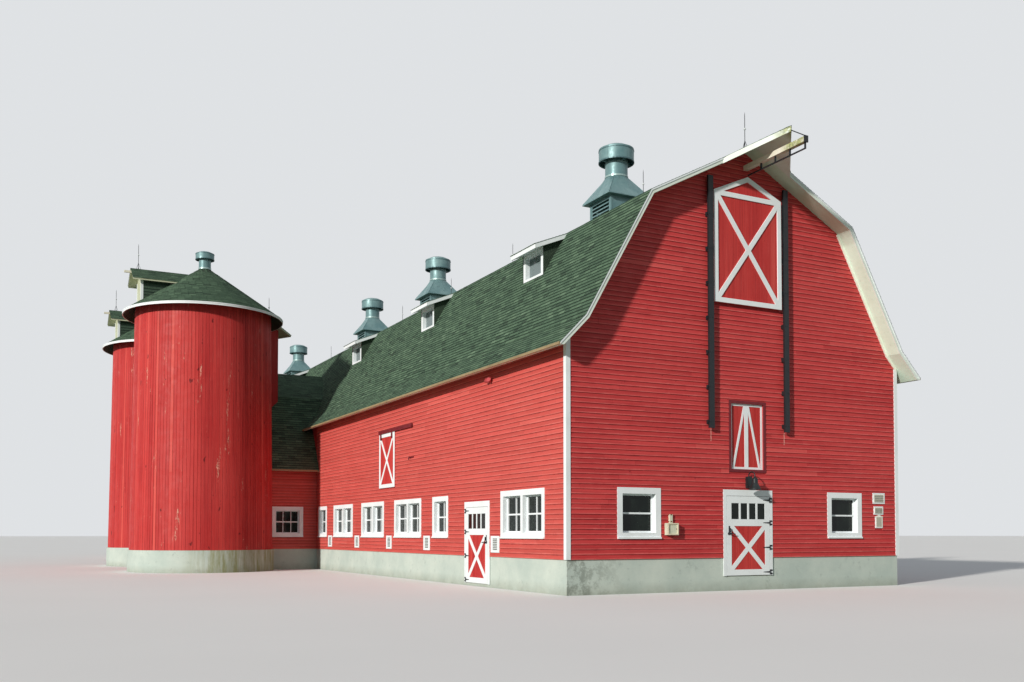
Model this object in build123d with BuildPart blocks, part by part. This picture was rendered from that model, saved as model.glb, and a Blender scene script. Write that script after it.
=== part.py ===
"""Red gambrel barn with two silos behind a cross wing, as a 1:2 scale model in millimetres.

The origin is on the ground under the middle of the main barn. The ridge runs along Y, the front
gable faces -Y, the wing and the silos stand on the -X side and +Z is up.
"""

import os
from math import atan2, cos, degrees, hypot, radians, sin

from build123d import *

os.makedirs("parts", exist_ok=True)

# Main barn
barn_length = 27950
barn_width = 6095
wall_thickness = 90
foundation_height = 470
foundation_thickness = 150
foundation_setback = 8
ground_floor_level = 45
loft_floor_level = 1690
loft_floor_thickness = 90
seat_gap = 0.3

# Gambrel roof with flared eaves
knuckle_offset = 1860
knuckle_height = 5500
ridge_rise = 970
flare_offset = 2905
flare_fall = 1820
eave_offset = 3290
eave_fall = 390
roof_thickness = 60
rake_overhang = 265
rake_board_thickness = 22
rake_board_depth = 64
eave_board_thickness = 20
eave_board_depth = 34
corner_board_width = 54
corner_board_thickness = 14

# Hay hood, beam and track
hood_half_width = 610
hood_reach = 930
hood_board_thickness = 18
hood_board_depth = 70
beam_width = 70
beam_depth = 72
beam_drop = 255
beam_reach = 1240
beam_inside = 400
track_width = 20
track_depth = 16
track_drop = 78
track_hangers = 4
stay_radius = 7
stay_setback = 45

# Cross wing
wing_half_width = 2410
wing_end = 4600
wing_ridge_height = 4905
wing_knuckle_offset = 1550
wing_knuckle_height = 4100
wing_eave_offset = 2625
wing_eave_height = 2295
wing_end_overhang = 100
wing_window_from_silo = 440
wing_window_width = 720
passage_half_width = 600
passage_head = 1300

# Windows
window_sill = 745
window_height = 700
single_window_width = 670
double_window_width = 1340
gable_window_width = 715
gable_window_offset = 1903
casing_width = 72
casing_projection = 12
window_depth = 88
window_liner = 12
sill_projection = 30
sill_depth = 24
sash_setback = 62
sash_thickness = 20
sash_width = 24
muntin_width = 13
mullion_width = 70
glass_thickness = 4

# Places along the long walls, as shares of the way from the wing's corner to the barn's corner
west_singles = (0.0445, 0.6368)
west_doubles = (0.1757, 0.3403, 0.5056)
east_singles = (0.0272, 0.6368, 0.7622)
east_doubles = (-0.1219, 0.1757, 0.3403, 0.5056)
corner_window_from_corner = 1250

# Units across a window, and columns and rows of panes in each unit
single_units = 1
double_units = 2
side_columns = 2
wing_columns = 3
gable_columns = 1
sash_rows = 2

# Doors that open
door_opening_width = 800
door_casing_width = 55
door_head_casing = 88
door_gap = 5
front_door_sill = 210
front_door_head = 1362
side_door_from_corner = 2750
side_door_head = 1232
leaf_thickness = 18
leaf_trim_thickness = 8
leaf_stile_width = 84
bottom_rail_width = 84
lock_rail_width = 98
top_rail_width = 100
leaf_brace_width = 68
light_height = 232
light_bar_width = 30
light_columns = 4
door_stop_depth = 20
door_stop_width = 16
knuckle_radius = 7
pin_radius = 3.2
pin_clearance = 0.4
strap_length = 120
strap_tip = 8
strap_thickness = 4
hinge_pad_share = 0.8
knuckle_length = 24
latch_width = 22
latch_height = 120
latch_projection = 26

# Upper doors
loft_door_width = 600
loft_door_sill = 1750
loft_door_height = 955
loft_casing_width = 42
loft_door_setback = 26
loft_stile_width = 34
loft_brace_width = 36
loft_brace_spread = 0.8
hay_door_half_width = 625
hay_door_height = 1895
hay_door_drop = 435
hay_shoulder_fall = 275
hay_door_lap = 55
hay_door_thickness = 45
hay_trim_thickness = 17
hay_trim_width = 70
hay_rail_offset = 700
hay_rail_width = 88
hay_rail_depth = 34
hay_rail_wall = 7
hay_rail_standoff = 50
hay_rail_bottom = 2315
hay_rail_drop = 525
hay_bracket_low = 90
hay_bracket_high = 558
hay_bracket_count = 7
hay_bracket_height = 60
slide_door_place = 0.4146
slide_door_width = 840
slide_door_sill = 1700
slide_door_height = 1045
slide_door_lap = 50
slide_trim_width = 70
slide_brace_width = 58
slide_track_reach = 1740
slide_track_end = 10
slide_track_height = 66
slide_track_depth = 42

# Roof dormers, at shares of half the barn's length
dormer_places = (0.2061, 0.5172, 0.8283)
dormer_face_offset = 2245
dormer_eave_offset = 2430
dormer_width = 645
dormer_side_overhang = 90
dormer_roof_slope = 0.41
dormer_roof_thickness = 66
dormer_cheek_thickness = 30
dormer_frame_width = 70
dormer_sill_rail = 36
dormer_frame_depth = 100

# Ridge vents, at shares of half the barn's length
vent_places = (-0.7545, -0.1753, 0.1753, 0.7545)
vent_box_half = 335
vent_box_wall = 12
vent_eave_half = 440
vent_eave_rise = 220
vent_lip = 18
vent_neck_radius = 200
vent_hood_rise = 430
vent_neck_length = 410
vent_cap_radius = 312
vent_cap_lap = 135
vent_cap_height = 300
vent_sheet = 8
vent_strap_width = 30
vent_strap_height = 60
louvre_count = 4
louvre_height = 44
louvre_bar = 22
louvre_margin = 50

# Lightning rods on the ridge, at shares of half the barn's length
rod_places = (0, 0.2343, 0.4669, 0.8139, 1)
rod_height = 500
rod_radius = 5
rod_ball_radius = 16
rod_ball_drop = 200
rod_foot_radius = 20
rod_foot_height = 40
rod_foot_seat = 14

# Silos
silo_x = -5625
silo_y = 2300
silo_top_radius = 1455
silo_spread = 65
silo_wall = 75
silo_base_ledge = 40
silo_eave_overhang = 250
silo_eave_height = 5665
silo_roof_slope = 0.69
silo_roof_thickness = 45
silo_fascia_depth = 55
silo_fascia_thickness = 16
silo_neck_radius = 132
silo_neck_rise = 1385
silo_cap_radius = 202
silo_cap_lap = 75
silo_cap_height = 175

# Silo dormers
silo_dormer_half = 340
silo_dormer_setback = 65
silo_dormer_overhang = 175
silo_dormer_rise = 945
silo_dormer_slope = 0.66
silo_dormer_eave = 450
silo_dormer_wall = 30
silo_dormer_roof = 34
silo_dormer_inner = 250
silo_beam_overhang = 135
silo_beam_size = 44

# Silo chutes
chute_angle = 28
chute_half_width = 275
chute_projection = 480
chute_wall = 40
chute_eave_overhang = 265
chute_eave_drop = 75
chute_slope = 0.45
chute_roof_overhang = 150
chute_roof_thickness = 38
chute_inner_radius = 1000
chute_rod_setback = 50
chute_rod_height = 720

# Fittings on the walls
lamp_base = 1448
lamp_reach = 160
lamp_arm_radius = 8
lamp_cap_radius = 14
lamp_neck_radius = 42
lamp_shade_radius = 88
lamp_sheet = 6
lamp_rim_height = 12
lamp_flare_height = 97
lamp_neck_height = 158
lamp_height = 188
lamp_box_width = 90
lamp_box_depth = 50
lamp_box_base = 1478
lamp_box_height = 165
flood_from_corner = 2260
flood_drop = 150
flood_plate = 64
flood_plate_thickness = 14
flood_reach = 46
flood_spread = 38
flood_turn = 35
flood_tilt = 25
flood_back_radius = 22
flood_front_radius = 36
flood_length = 74
meter_x = -1390
meter_width = 180
meter_height = 165
meter_base = 797
meter_depth = 75
conduit_radius = 24
conduit_top = 1085
louvre_plate_width = 290
louvre_plate_height = 250
louvre_plate_base = 533
louvre_plate_thickness = 12
louvre_plate_stile = 70
louvre_plate_rail = 38
louvre_plate_bar = 9
louvre_plate_slots = 7

# Middle, base, width and height of each bare plate
front_plates = ((2630, 1285, 260, 170), (2622, 1115, 205, 130), (2630, 905, 160, 185))

half_length = barn_length / 2
half_width = barn_width / 2
wing_start = half_width + seat_gap

# Radii that follow the silos
silo_foot_radius = silo_top_radius + silo_spread
silo_base_radius = silo_foot_radius + silo_base_ledge
silo_eave_radius = silo_top_radius + silo_eave_overhang
silo_dormer_face = silo_top_radius - silo_dormer_setback
silo_dormer_reach = silo_dormer_face + silo_dormer_overhang
silo_beam_reach = silo_dormer_reach + silo_beam_overhang
chute_radius = silo_top_radius + chute_projection
chute_eave_radius = chute_radius + chute_eave_overhang
chute_rod_radius = chute_radius - chute_rod_setback
wing_window_centre = -silo_x - silo_top_radius - wing_window_from_silo

# Heights that follow the roofs
ridge_height = knuckle_height + ridge_rise
flare_height = knuckle_height - flare_fall
eave_height = flare_height - eave_fall
beam_top = ridge_height - beam_drop
hay_door_peak = ridge_height - hay_door_drop
hay_door_shoulder = hay_door_peak - hay_shoulder_fall
hay_door_sill = hay_door_peak - hay_door_height
hay_rail_top = ridge_height - hay_rail_drop
vent_eave_height = ridge_height + vent_eave_rise
vent_neck_base = vent_eave_height + vent_hood_rise
vent_neck_top = vent_neck_base + vent_neck_length
vent_cap_base = vent_neck_top - vent_cap_lap
vent_cap_top = vent_cap_base + vent_cap_height
flood_height = eave_height - flood_drop
silo_neck_top = silo_eave_height + silo_neck_rise
silo_cap_base = silo_neck_top - silo_cap_lap
silo_cap_top = silo_cap_base + silo_cap_height
silo_dormer_ridge = silo_eave_height + silo_dormer_rise
chute_eave_height = silo_eave_height - chute_eave_drop


def along_wall(share):
    """Distance from the middle of the barn of a share of the way past the wing."""
    return wing_half_width + share * (half_length - wing_half_width)


def both_ways(shares):
    """Places along a long wall at shares of the way past the wing, in front and behind."""
    return [side * along_wall(share) for share in shares for side in (-1, 1)]


side_door_centre = half_length - side_door_from_corner
slide_door_centre = along_wall(slide_door_place)
corner_window = half_length - corner_window_from_corner
west_double_spots = [*both_ways(west_doubles), -corner_window, corner_window]
west_single_spots = [*both_ways(west_singles), -side_door_centre]
east_double_spots = [*both_ways(east_doubles), -corner_window, corner_window]
east_single_spots = both_ways(east_singles)

# Planes on the outer faces of the walls, with x to the right and y up as seen from outside
front_face = Plane(origin=(0, -half_length, 0), x_dir=(1, 0, 0), z_dir=(0, -1, 0))
rear_face = Plane(origin=(0, half_length, 0), x_dir=(-1, 0, 0), z_dir=(0, 1, 0))
west_face = Plane(origin=(-half_width, 0, 0), x_dir=(0, -1, 0), z_dir=(-1, 0, 0))
east_face = Plane(origin=(half_width, 0, 0), x_dir=(0, 1, 0), z_dir=(1, 0, 0))
wing_near_face = Plane(origin=(0, -wing_half_width, 0), x_dir=(1, 0, 0), z_dir=(0, -1, 0))
wing_far_face = Plane(origin=(0, wing_half_width, 0), x_dir=(-1, 0, 0), z_dir=(0, 1, 0))

main_line = (
    (0, ridge_height),
    (knuckle_offset, knuckle_height),
    (flare_offset, flare_height),
    (eave_offset, eave_height),
)
wing_line = (
    (0, wing_ridge_height),
    (wing_knuckle_offset, wing_knuckle_height),
    (wing_eave_offset, wing_eave_height),
)


def inset(line, depth, edge=None):
    """The same roof line moved inward, square to each slope, with a plumb cut at its end.

    An edge gives the end that height and cuts what hangs lower off level.
    """
    slopes = [(b[1] - a[1]) / (b[0] - a[0]) for a, b in zip(line, line[1:])]
    points = [(line[0][0], line[0][1] - depth * hypot(1, slopes[0]))]
    for corner, above, below in zip(line[1:], slopes, slopes[1:]):
        shift = depth * (hypot(1, above) - hypot(1, below)) / (above - below)
        points.append((corner[0] + shift, corner[1] + above * shift - depth * hypot(1, above)))
    foot = line[-1][1] - depth * hypot(1, slopes[-1])
    if edge is None:
        return points + [(line[-1][0], foot)]
    level = line[-1][1] - edge
    return points + [(line[-1][0] + (level - foot) / slopes[-1], level), (line[-1][0], level)]


def height_at(line, offset):
    """Height of a roof line at a distance from its ridge."""
    for a, b in zip(line, line[1:]):
        if offset <= b[0]:
            return a[1] + (b[1] - a[1]) * (offset - a[0]) / (b[0] - a[0])
    return line[-1][1]


def gable_outline(line, reach, bottom):
    """Closed outline under a roof line, out to a reach on both sides and down to a bottom."""
    half = [p for p in line if p[0] < reach] + [(reach, height_at(line, reach)), (reach, bottom)]
    return half + [(-x, z) for x, z in reversed(half) if x > 0]


main_under = inset(main_line, roof_thickness, eave_board_depth)
wing_under = inset(wing_line, roof_thickness, eave_board_depth)


def face_of(points, mode=Mode.ADD):
    """Filled polygon through the points in the sketch being built."""
    Polygon(*points, align=None, mode=mode)


def rectangle(x0, x1, y0, y1, mode=Mode.ADD):
    """Rectangle between two x and two y values in the sketch being built."""
    with Locations(((x0 + x1) / 2, (y0 + y1) / 2)):
        Rectangle(x1 - x0, y1 - y0, mode=mode)


def bar(plane, xs, ys, zs, mode=Mode.ADD):
    """Box between two values along each direction of a plane."""
    with BuildSketch(plane.offset(zs[0])) as outline:
        rectangle(*xs, *ys)
    extrude(outline.sketch, amount=zs[1] - zs[0], mode=mode)


def brace(start, end, width):
    """Straight board between two points in the sketch being built."""
    run = end[0] - start[0]
    rise = end[1] - start[1]
    with Locations(((start[0] + end[0]) / 2, (start[1] + end[1]) / 2)):
        Rectangle(hypot(run, rise), width, rotation=degrees(atan2(rise, run)))


def keep(node, name):
    """Label a finished piece and write its file."""
    node.part.label = name
    export_step(node.part, f"parts/{name}.step")


def solid_main_barn(reach):
    """Everything inside the main barn's outer faces out to a reach, for trimming what abuts it."""
    under = [p for p in reversed(main_under) if p[0] > half_width]
    tip = [(eave_offset, eave_height), *under, (half_width, height_at(main_under, half_width))]
    half = [*main_line[:-1], *tip, (half_width, 0)]
    with BuildPart() as barn:
        with BuildSketch(Plane.XZ):
            face_of(half + [(-x, z) for x, z in reversed(half) if x > 0])
        extrude(amount=reach, both=True)
    return barn.part


def solid_wing():
    """Everything inside the wing's roof, for trimming what stands on it."""
    with BuildPart() as wing:
        with BuildSketch(Plane.YZ):
            face_of(gable_outline(wing_line, wing_eave_offset, wing_eave_height))
        extrude(amount=-wing_end - wing_end_overhang)
    return wing.part


def solid_silo():
    """Everything inside a silo's wall and above its eave, for trimming what abuts it."""
    taper = (silo_foot_radius - silo_top_radius) / (silo_eave_height - foundation_height)
    foot = silo_foot_radius + foundation_height * taper + seat_gap
    shoulder_height = silo_cone(silo_top_radius) + seat_gap
    with BuildPart() as silo:
        with BuildSketch(Plane.XZ):
            face_of(
                [
                    (0, 0),
                    (foot, 0),
                    (silo_top_radius + seat_gap, silo_eave_height),
                    (silo_top_radius + seat_gap, shoulder_height),
                    (0, silo_cone(0) + seat_gap),
                ]
            )
        revolve(axis=Axis.Z)
    return silo.part


def solid_silo_roof():
    """Everything inside a silo's cone, out to its eave, for trimming what stands on it."""
    low = (silo_eave_radius, silo_eave_height)
    high = (silo_eave_radius, silo_eave_height + seat_gap)
    with BuildPart() as cone:
        with BuildSketch(Plane.XZ):
            face_of([(0, silo_eave_height), low, high, (0, silo_cone(0) + seat_gap)])
        revolve(axis=Axis.Z)
    return cone.part


def silo_cone(radius):
    """Height of the silo roof's outer surface at a radius."""
    return silo_eave_height + silo_roof_slope * (silo_eave_radius - radius)


barn_core = solid_main_barn(half_length)
wing_core = solid_wing()
silo_core = solid_silo()
silo_roof_core = solid_silo_roof()
silo_spots = [Location((silo_x, side * silo_y, 0)) for side in (-1, 1)]


def trim_to_silos():
    """Cut the part being built clear of both silos."""
    for spot in silo_spots:
        add(silo_core.moved(spot), mode=Mode.SUBTRACT)


def trim_to_silo_bases():
    """Cut the part being built clear of both silo foundations."""
    with BuildSketch() as rings:
        with Locations(*[spot.position for spot in silo_spots]):
            Circle(silo_base_radius + seat_gap)
    extrude(rings.sketch, amount=foundation_height, mode=Mode.SUBTRACT)


# Foundation walls, floors and door sills
foundation_outer_x = half_width - foundation_setback
foundation_outer_y = half_length - foundation_setback
foundation_inner_x = foundation_outer_x - foundation_thickness
foundation_inner_y = foundation_outer_y - foundation_thickness
door_half = door_opening_width / 2
side_door_near = -side_door_centre - door_half
side_door_far = -side_door_centre + door_half
whole_height = (0, foundation_height)

with BuildPart() as foundation_ends:
    for start, end in ((-foundation_outer_x, -door_half), (door_half, foundation_outer_x)):
        bar(Plane.XY, (start, end), (-foundation_outer_y, -foundation_inner_y), whole_height)
    ends = (-foundation_outer_x, foundation_outer_x)
    bar(Plane.XY, ends, (foundation_inner_y, foundation_outer_y), whole_height)
keep(foundation_ends, "foundation_ends")

west_stretches = (
    (-foundation_inner_y, side_door_near),
    (side_door_far, -passage_half_width),
    (passage_half_width, foundation_inner_y),
)
with BuildPart() as foundation_sides:
    ends = (-foundation_inner_y, foundation_inner_y)
    bar(Plane.XY, (foundation_inner_x, foundation_outer_x), ends, whole_height)
    for stretch in west_stretches:
        bar(Plane.XY, (-foundation_outer_x, -foundation_inner_x), stretch, whole_height)
keep(foundation_sides, "foundation_sides")

wing_outer = wing_half_width - foundation_setback
wing_inner = wing_outer - foundation_thickness
with BuildPart() as foundation_wing:
    for side in (-1, 1):
        ys = sorted((side * wing_outer, side * wing_inner))
        bar(Plane.XY, (-wing_end, -foundation_outer_x), ys, whole_height)
    bar(Plane.XY, (-wing_end, -wing_end + foundation_thickness), (-silo_y, silo_y), whole_height)
    trim_to_silo_bases()
keep(foundation_wing, "foundation_wing")

with BuildPart() as door_sills:
    depth = (-foundation_outer_y, -foundation_inner_y)
    bar(Plane.XY, (-door_half, door_half), depth, (0, front_door_sill))
    depth = (-foundation_outer_x, -foundation_inner_x)
    bar(Plane.XY, depth, (side_door_near, side_door_far), (0, ground_floor_level))
keep(door_sills, "door_sills")

with BuildPart() as ground_floor:
    slab = (0, ground_floor_level)
    xs = (-foundation_inner_x, foundation_inner_x)
    bar(Plane.XY, xs, (-foundation_inner_y, foundation_inner_y), slab)
    passage = (-passage_half_width, passage_half_width)
    bar(Plane.XY, (-foundation_outer_x, -foundation_inner_x), passage, slab)
    xs = (-wing_end + foundation_thickness, -foundation_outer_x)
    bar(Plane.XY, xs, (-wing_inner, wing_inner), slab)
    trim_to_silo_bases()
keep(ground_floor, "ground_floor")

inner_x = half_width - wall_thickness
inner_y = half_length - wall_thickness
with BuildPart() as loft_floor:
    levels = (loft_floor_level - loft_floor_thickness, loft_floor_level)
    bar(Plane.XY, (-inner_x, inner_x), (-inner_y, inner_y), levels)
keep(loft_floor, "loft_floor")


def window_hole(centre, width):
    """Rough opening of one window in the wall sketch being built."""
    half = width / 2 - casing_width
    top = window_sill + window_height - casing_width
    rectangle(centre - half, centre + half, window_sill + casing_width, top, Mode.SUBTRACT)


hay_door_outline = [
    (-hay_door_half_width, hay_door_sill),
    (hay_door_half_width, hay_door_sill),
    (hay_door_half_width, hay_door_shoulder),
    (0, hay_door_peak),
    (-hay_door_half_width, hay_door_shoulder),
]


def hay_door_face(margin=0, mode=Mode.ADD):
    """The hay door's outline, made smaller all round by a margin, in the sketch being built."""
    with BuildSketch() as outline:
        face_of(hay_door_outline)
        if margin:
            offset(amount=-margin, kind=Kind.INTERSECTION, mode=Mode.REPLACE)
    add(outline.sketch, mode=mode)


# Front gable wall: a piece on each side of the door and the gable above
with BuildPart() as front_wall:
    with BuildSketch(front_face):
        for side in (-1, 1):
            xs = sorted((side * half_width, side * door_half))
            rectangle(*xs, foundation_height, front_door_head)
            window_hole(side * gable_window_offset, gable_window_width)
    extrude(amount=-wall_thickness)
keep(front_wall, "front_wall")

loft_half = loft_door_width / 2
beam_half = beam_width / 2
with BuildPart() as front_gable:
    with BuildSketch(front_face):
        face_of(gable_outline(main_under, half_width, front_door_head))
        loft_top = loft_door_sill + loft_door_height
        rectangle(-loft_half, loft_half, loft_door_sill, loft_top, Mode.SUBTRACT)
        hay_door_face(hay_door_lap, Mode.SUBTRACT)
        rectangle(-beam_half, beam_half, beam_top - beam_depth, beam_top, Mode.SUBTRACT)
        for side in (-1, 1):
            window_hole(side * gable_window_offset, gable_window_width)
    extrude(amount=-wall_thickness)
keep(front_gable, "front_gable")

with BuildPart() as rear_wall:
    with BuildSketch(rear_face):
        face_of(gable_outline(main_under, half_width, foundation_height))
        for centre in (-gable_window_offset, 0, gable_window_offset):
            window_hole(centre, gable_window_width)
    extrude(amount=-wall_thickness)
keep(rear_wall, "rear_wall")


def side_wall(side, start, end, bottom):
    """Stretch of a side wall, its top cut to the underside of the eave."""
    with BuildSketch(Plane.XZ.offset(-start)) as profile:
        outer = (side * half_width, height_at(main_under, half_width))
        inner = (side * inner_x, height_at(main_under, inner_x))
        face_of([(side * inner_x, bottom), (side * half_width, bottom), outer, inner])
    extrude(profile.sketch, amount=start - end)


def side_window_holes(face, centres, width):
    """Rough openings of a row of windows through the side wall being built."""
    with BuildSketch(face) as holes:
        for centre in centres:
            half = width / 2 - casing_width
            top = window_sill + window_height - casing_width
            rectangle(centre - half, centre + half, window_sill + casing_width, top)
    extrude(holes.sketch, amount=-wall_thickness, mode=Mode.SUBTRACT)


slide_half = slide_door_width / 2
with BuildPart() as west_wall:
    side_wall(-1, -inner_y, side_door_near, foundation_height)
    side_wall(-1, side_door_far, -passage_half_width, foundation_height)
    side_wall(-1, passage_half_width, inner_y, foundation_height)
    side_window_holes(west_face, west_double_spots, double_window_width)
    side_window_holes(west_face, west_single_spots, single_window_width)
    slide_middle = (slide_door_centre - slide_half, slide_door_centre + slide_half)
    xs = (slide_middle[0] + slide_door_lap, slide_middle[1] - slide_door_lap)
    ys = (slide_door_sill, slide_door_sill + slide_door_height - slide_door_lap)
    bar(west_face, xs, ys, (-wall_thickness, 0), Mode.SUBTRACT)
keep(west_wall, "west_wall")

with BuildPart() as west_wall_lintels:
    side_wall(-1, side_door_near, side_door_far, side_door_head)
    side_wall(-1, -passage_half_width, passage_half_width, passage_head)
keep(west_wall_lintels, "west_wall_lintels")

with BuildPart() as east_wall:
    side_wall(1, -inner_y, inner_y, foundation_height)
    side_window_holes(east_face, east_double_spots, double_window_width)
    side_window_holes(east_face, east_single_spots, single_window_width)
keep(east_wall, "east_wall")

# Wing walls, cut round the silos
with BuildPart() as wing_walls:
    wing_wall_inner = wing_half_width - wall_thickness
    for side in (-1, 1):
        with BuildSketch(Plane.YZ.offset(-wing_end)):
            outer = (side * wing_half_width, height_at(wing_under, wing_half_width))
            inner = (side * wing_wall_inner, height_at(wing_under, wing_wall_inner))
            low = foundation_height
            face_of([(side * wing_wall_inner, low), (side * wing_half_width, low), outer, inner])
        extrude(amount=wing_end - wing_start)
    with BuildSketch(Plane.YZ.offset(-wing_end)):
        face_of(gable_outline(wing_under, silo_y, foundation_height))
    extrude(amount=wall_thickness)
    side_window_holes(wing_near_face, [-wing_window_centre], wing_window_width)
    side_window_holes(wing_far_face, [wing_window_centre], wing_window_width)
    trim_to_silos()
keep(wing_walls, "wing_walls")


# Roof slopes with the openings under the dormers
def roof_profile(line, under, side):
    """Cross-section of one side of a roof between its outer line and its underside."""
    face_of([(side * x, z) for x, z in [*line, *reversed(under)]])


dormer_half = dormer_width / 2
dormer_spots = [side * share * half_length for share in dormer_places for side in (-1, 1)]
steep_slope = (flare_height - knuckle_height) / (flare_offset - knuckle_offset)
dormer_drop = dormer_roof_thickness * hypot(1, dormer_roof_slope)
dormer_back = knuckle_offset - dormer_drop / (dormer_roof_slope + steep_slope)
dormer_back_height = knuckle_height + steep_slope * (dormer_back - knuckle_offset)
roof_half_length = half_length + rake_overhang - rake_board_thickness


def main_roof(side, name):
    """One side of the main roof."""
    with BuildPart() as roof:
        with BuildSketch(Plane.XZ):
            roof_profile(main_line, main_under, side)
        extrude(amount=roof_half_length, both=True)
        xs = sorted((side * dormer_back, side * dormer_face_offset))
        for spot in dormer_spots:
            ys = (spot - dormer_half, spot + dormer_half)
            bar(Plane.XY, xs, ys, (flare_height, knuckle_height), Mode.SUBTRACT)
    keep(roof, name)


main_roof(-1, "west_roof")
main_roof(1, "east_roof")

with BuildPart() as wing_roof:
    with BuildSketch(Plane.YZ):
        for side in (-1, 1):
            roof_profile(wing_line, wing_under, side)
    extrude(amount=-wing_end - wing_end_overhang)
    add(barn_core, mode=Mode.SUBTRACT)
    trim_to_silos()
keep(wing_roof, "wing_roof")

# Boards along the rakes, eaves and corners
rake_start = half_length + rake_overhang - rake_board_thickness
rake_end = rake_start + rake_board_thickness
with BuildPart() as eave_boards:
    for side in (-1, 1):
        xs = sorted((side * eave_offset, side * (eave_offset + eave_board_thickness)))
        heights = (eave_height - eave_board_depth, eave_height)
        bar(Plane.XY, xs, (-rake_end, rake_end), heights)
    with BuildSketch(Plane.YZ):
        face_of(gable_outline(wing_line, wing_eave_offset, wing_eave_height))
    extrude(amount=-eave_offset - eave_board_thickness, mode=Mode.SUBTRACT)
    for side in (-1, 1):
        ys = sorted((side * wing_eave_offset, side * (wing_eave_offset + eave_board_thickness)))
        heights = (wing_eave_height - eave_board_depth, wing_eave_height)
        bar(Plane.XY, (-wing_end, -wing_start), ys, heights)
    trim_to_silos()
keep(eave_boards, "eave_boards")

with BuildPart() as corner_boards:
    top = height_at(main_under, half_width + corner_board_thickness)
    reach_x = half_width - corner_board_width
    reach_y = half_length - corner_board_width
    with BuildSketch(Plane.XY.offset(foundation_height)):
        Rectangle(barn_width + 2 * corner_board_thickness, barn_length + 2 * corner_board_thickness)
        Rectangle(barn_width, barn_length, mode=Mode.SUBTRACT)
        Rectangle(2 * reach_x, 2 * barn_length, mode=Mode.SUBTRACT)
        Rectangle(2 * barn_width, 2 * reach_y, mode=Mode.SUBTRACT)
    extrude(amount=top - foundation_height)
keep(corner_boards, "corner_boards")


# Hay hood over the front peak, its boards, the beam and the track
def hood_plan(extra=0, mode=Mode.ADD):
    """Triangle of the hood in plan, seen from above, in the sketch being built."""
    widen = extra * hood_half_width / (hood_reach - rake_overhang)
    base = -half_length - rake_overhang + rake_board_thickness
    half = hood_half_width + widen
    face_of([(-half, base), (half, base), (0, -half_length - hood_reach - extra)], mode)


def hood_band(depth):
    """Ridge band of the hood, deep enough to hold a roof or a board, before it is trimmed."""
    under = inset(main_line, depth)
    edge = hood_half_width + 2 * hood_board_depth
    half = [(0, ridge_height), (edge, height_at(main_line, edge)), (edge, height_at(under, edge))]
    with BuildSketch(Plane.XZ.offset(rake_start)) as band:
        face_of(half + [under[0]] + [(-x, z) for x, z in reversed(half) if x > 0])
    extrude(band.sketch, amount=2 * hood_reach)


with BuildPart() as hay_hood:
    hood_band(roof_thickness)
    with BuildSketch(Plane.XY):
        hood_plan()
    extrude(amount=ridge_height, mode=Mode.INTERSECT)
keep(hay_hood, "hay_hood")

with BuildPart() as hood_boards:
    hood_band(hood_board_depth)
    with BuildSketch(Plane.XY):
        hood_plan(hood_board_thickness * 2)
        hood_plan(mode=Mode.SUBTRACT)
    extrude(amount=ridge_height, mode=Mode.INTERSECT)

with BuildPart() as rake_boards:
    rake_under = inset(main_line, rake_board_depth, eave_board_depth)
    for sign in (-1, 1):
        with BuildSketch(Plane.XZ.offset(sign * rake_start)):
            for side in (-1, 1):
                roof_profile(main_line, rake_under, side)
        extrude(amount=sign * rake_board_thickness)
    hood_strip = (-hood_half_width, hood_half_width)
    low = knuckle_height
    depth = (-rake_start - rake_board_thickness, -rake_start)
    bar(Plane.XY, hood_strip, depth, (low, ridge_height), Mode.SUBTRACT)
    add(hood_boards.part)
keep(rake_boards, "rake_boards")

with BuildPart() as hay_beam:
    ys = (-half_length - beam_reach, -half_length + beam_inside)
    bar(Plane.XY, (-beam_half, beam_half), ys, (beam_top - beam_depth, beam_top))
keep(hay_beam, "hay_beam")

with BuildPart() as hay_track:
    beam_bottom = beam_top - beam_depth
    rail_top = beam_bottom - track_drop
    rail_start = -half_length - beam_reach
    rail_end = -half_length - hay_door_thickness - hay_trim_thickness - door_gap
    rail_half = track_width / 2
    bar(Plane.XY, (-rail_half, rail_half), (rail_start, rail_end), (rail_top - track_depth, rail_top))
    step = (rail_end - rail_start) / track_hangers
    for i in range(track_hangers):
        start = rail_start + step * i
        bar(Plane.XY, (-rail_half, rail_half), (start, start + track_width), (rail_top, beam_bottom))
keep(hay_track, "hay_track")

# Stay rod from the tip of the hood down to a plate on the end of the beam
with BuildPart() as hood_stay:
    plate_y = -half_length - beam_reach
    plate_z = (beam_top - beam_depth - stay_radius, beam_top + 2 * stay_radius)
    bar(Plane.XY, (-beam_half, beam_half), (plate_y - 2 * stay_radius, plate_y), plate_z)
    foot = Vector(0, plate_y - stay_radius, beam_top + stay_radius)
    tip = Vector(0, -half_length - hood_reach, ridge_height - stay_setback)
    run = tip - foot
    with BuildSketch(Plane(origin=foot, z_dir=run)):
        Circle(stay_radius)
    extrude(amount=run.length)
    add(rake_boards.part, mode=Mode.SUBTRACT)
    add(hay_hood.part, mode=Mode.SUBTRACT)
keep(hood_stay, "hood_stay")


# Windows: a frame with casing, sill, liner and sashes, and the panes behind the sashes
def unit_spans(width, units):
    """Clear spans of a window's units between its liners and mullions."""
    half = width / 2 - casing_width - window_liner
    unit = (2 * half - (units - 1) * mullion_width) / units
    starts = [-half + i * (unit + mullion_width) for i in range(units)]
    return [(start, start + unit) for start in starts]


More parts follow.
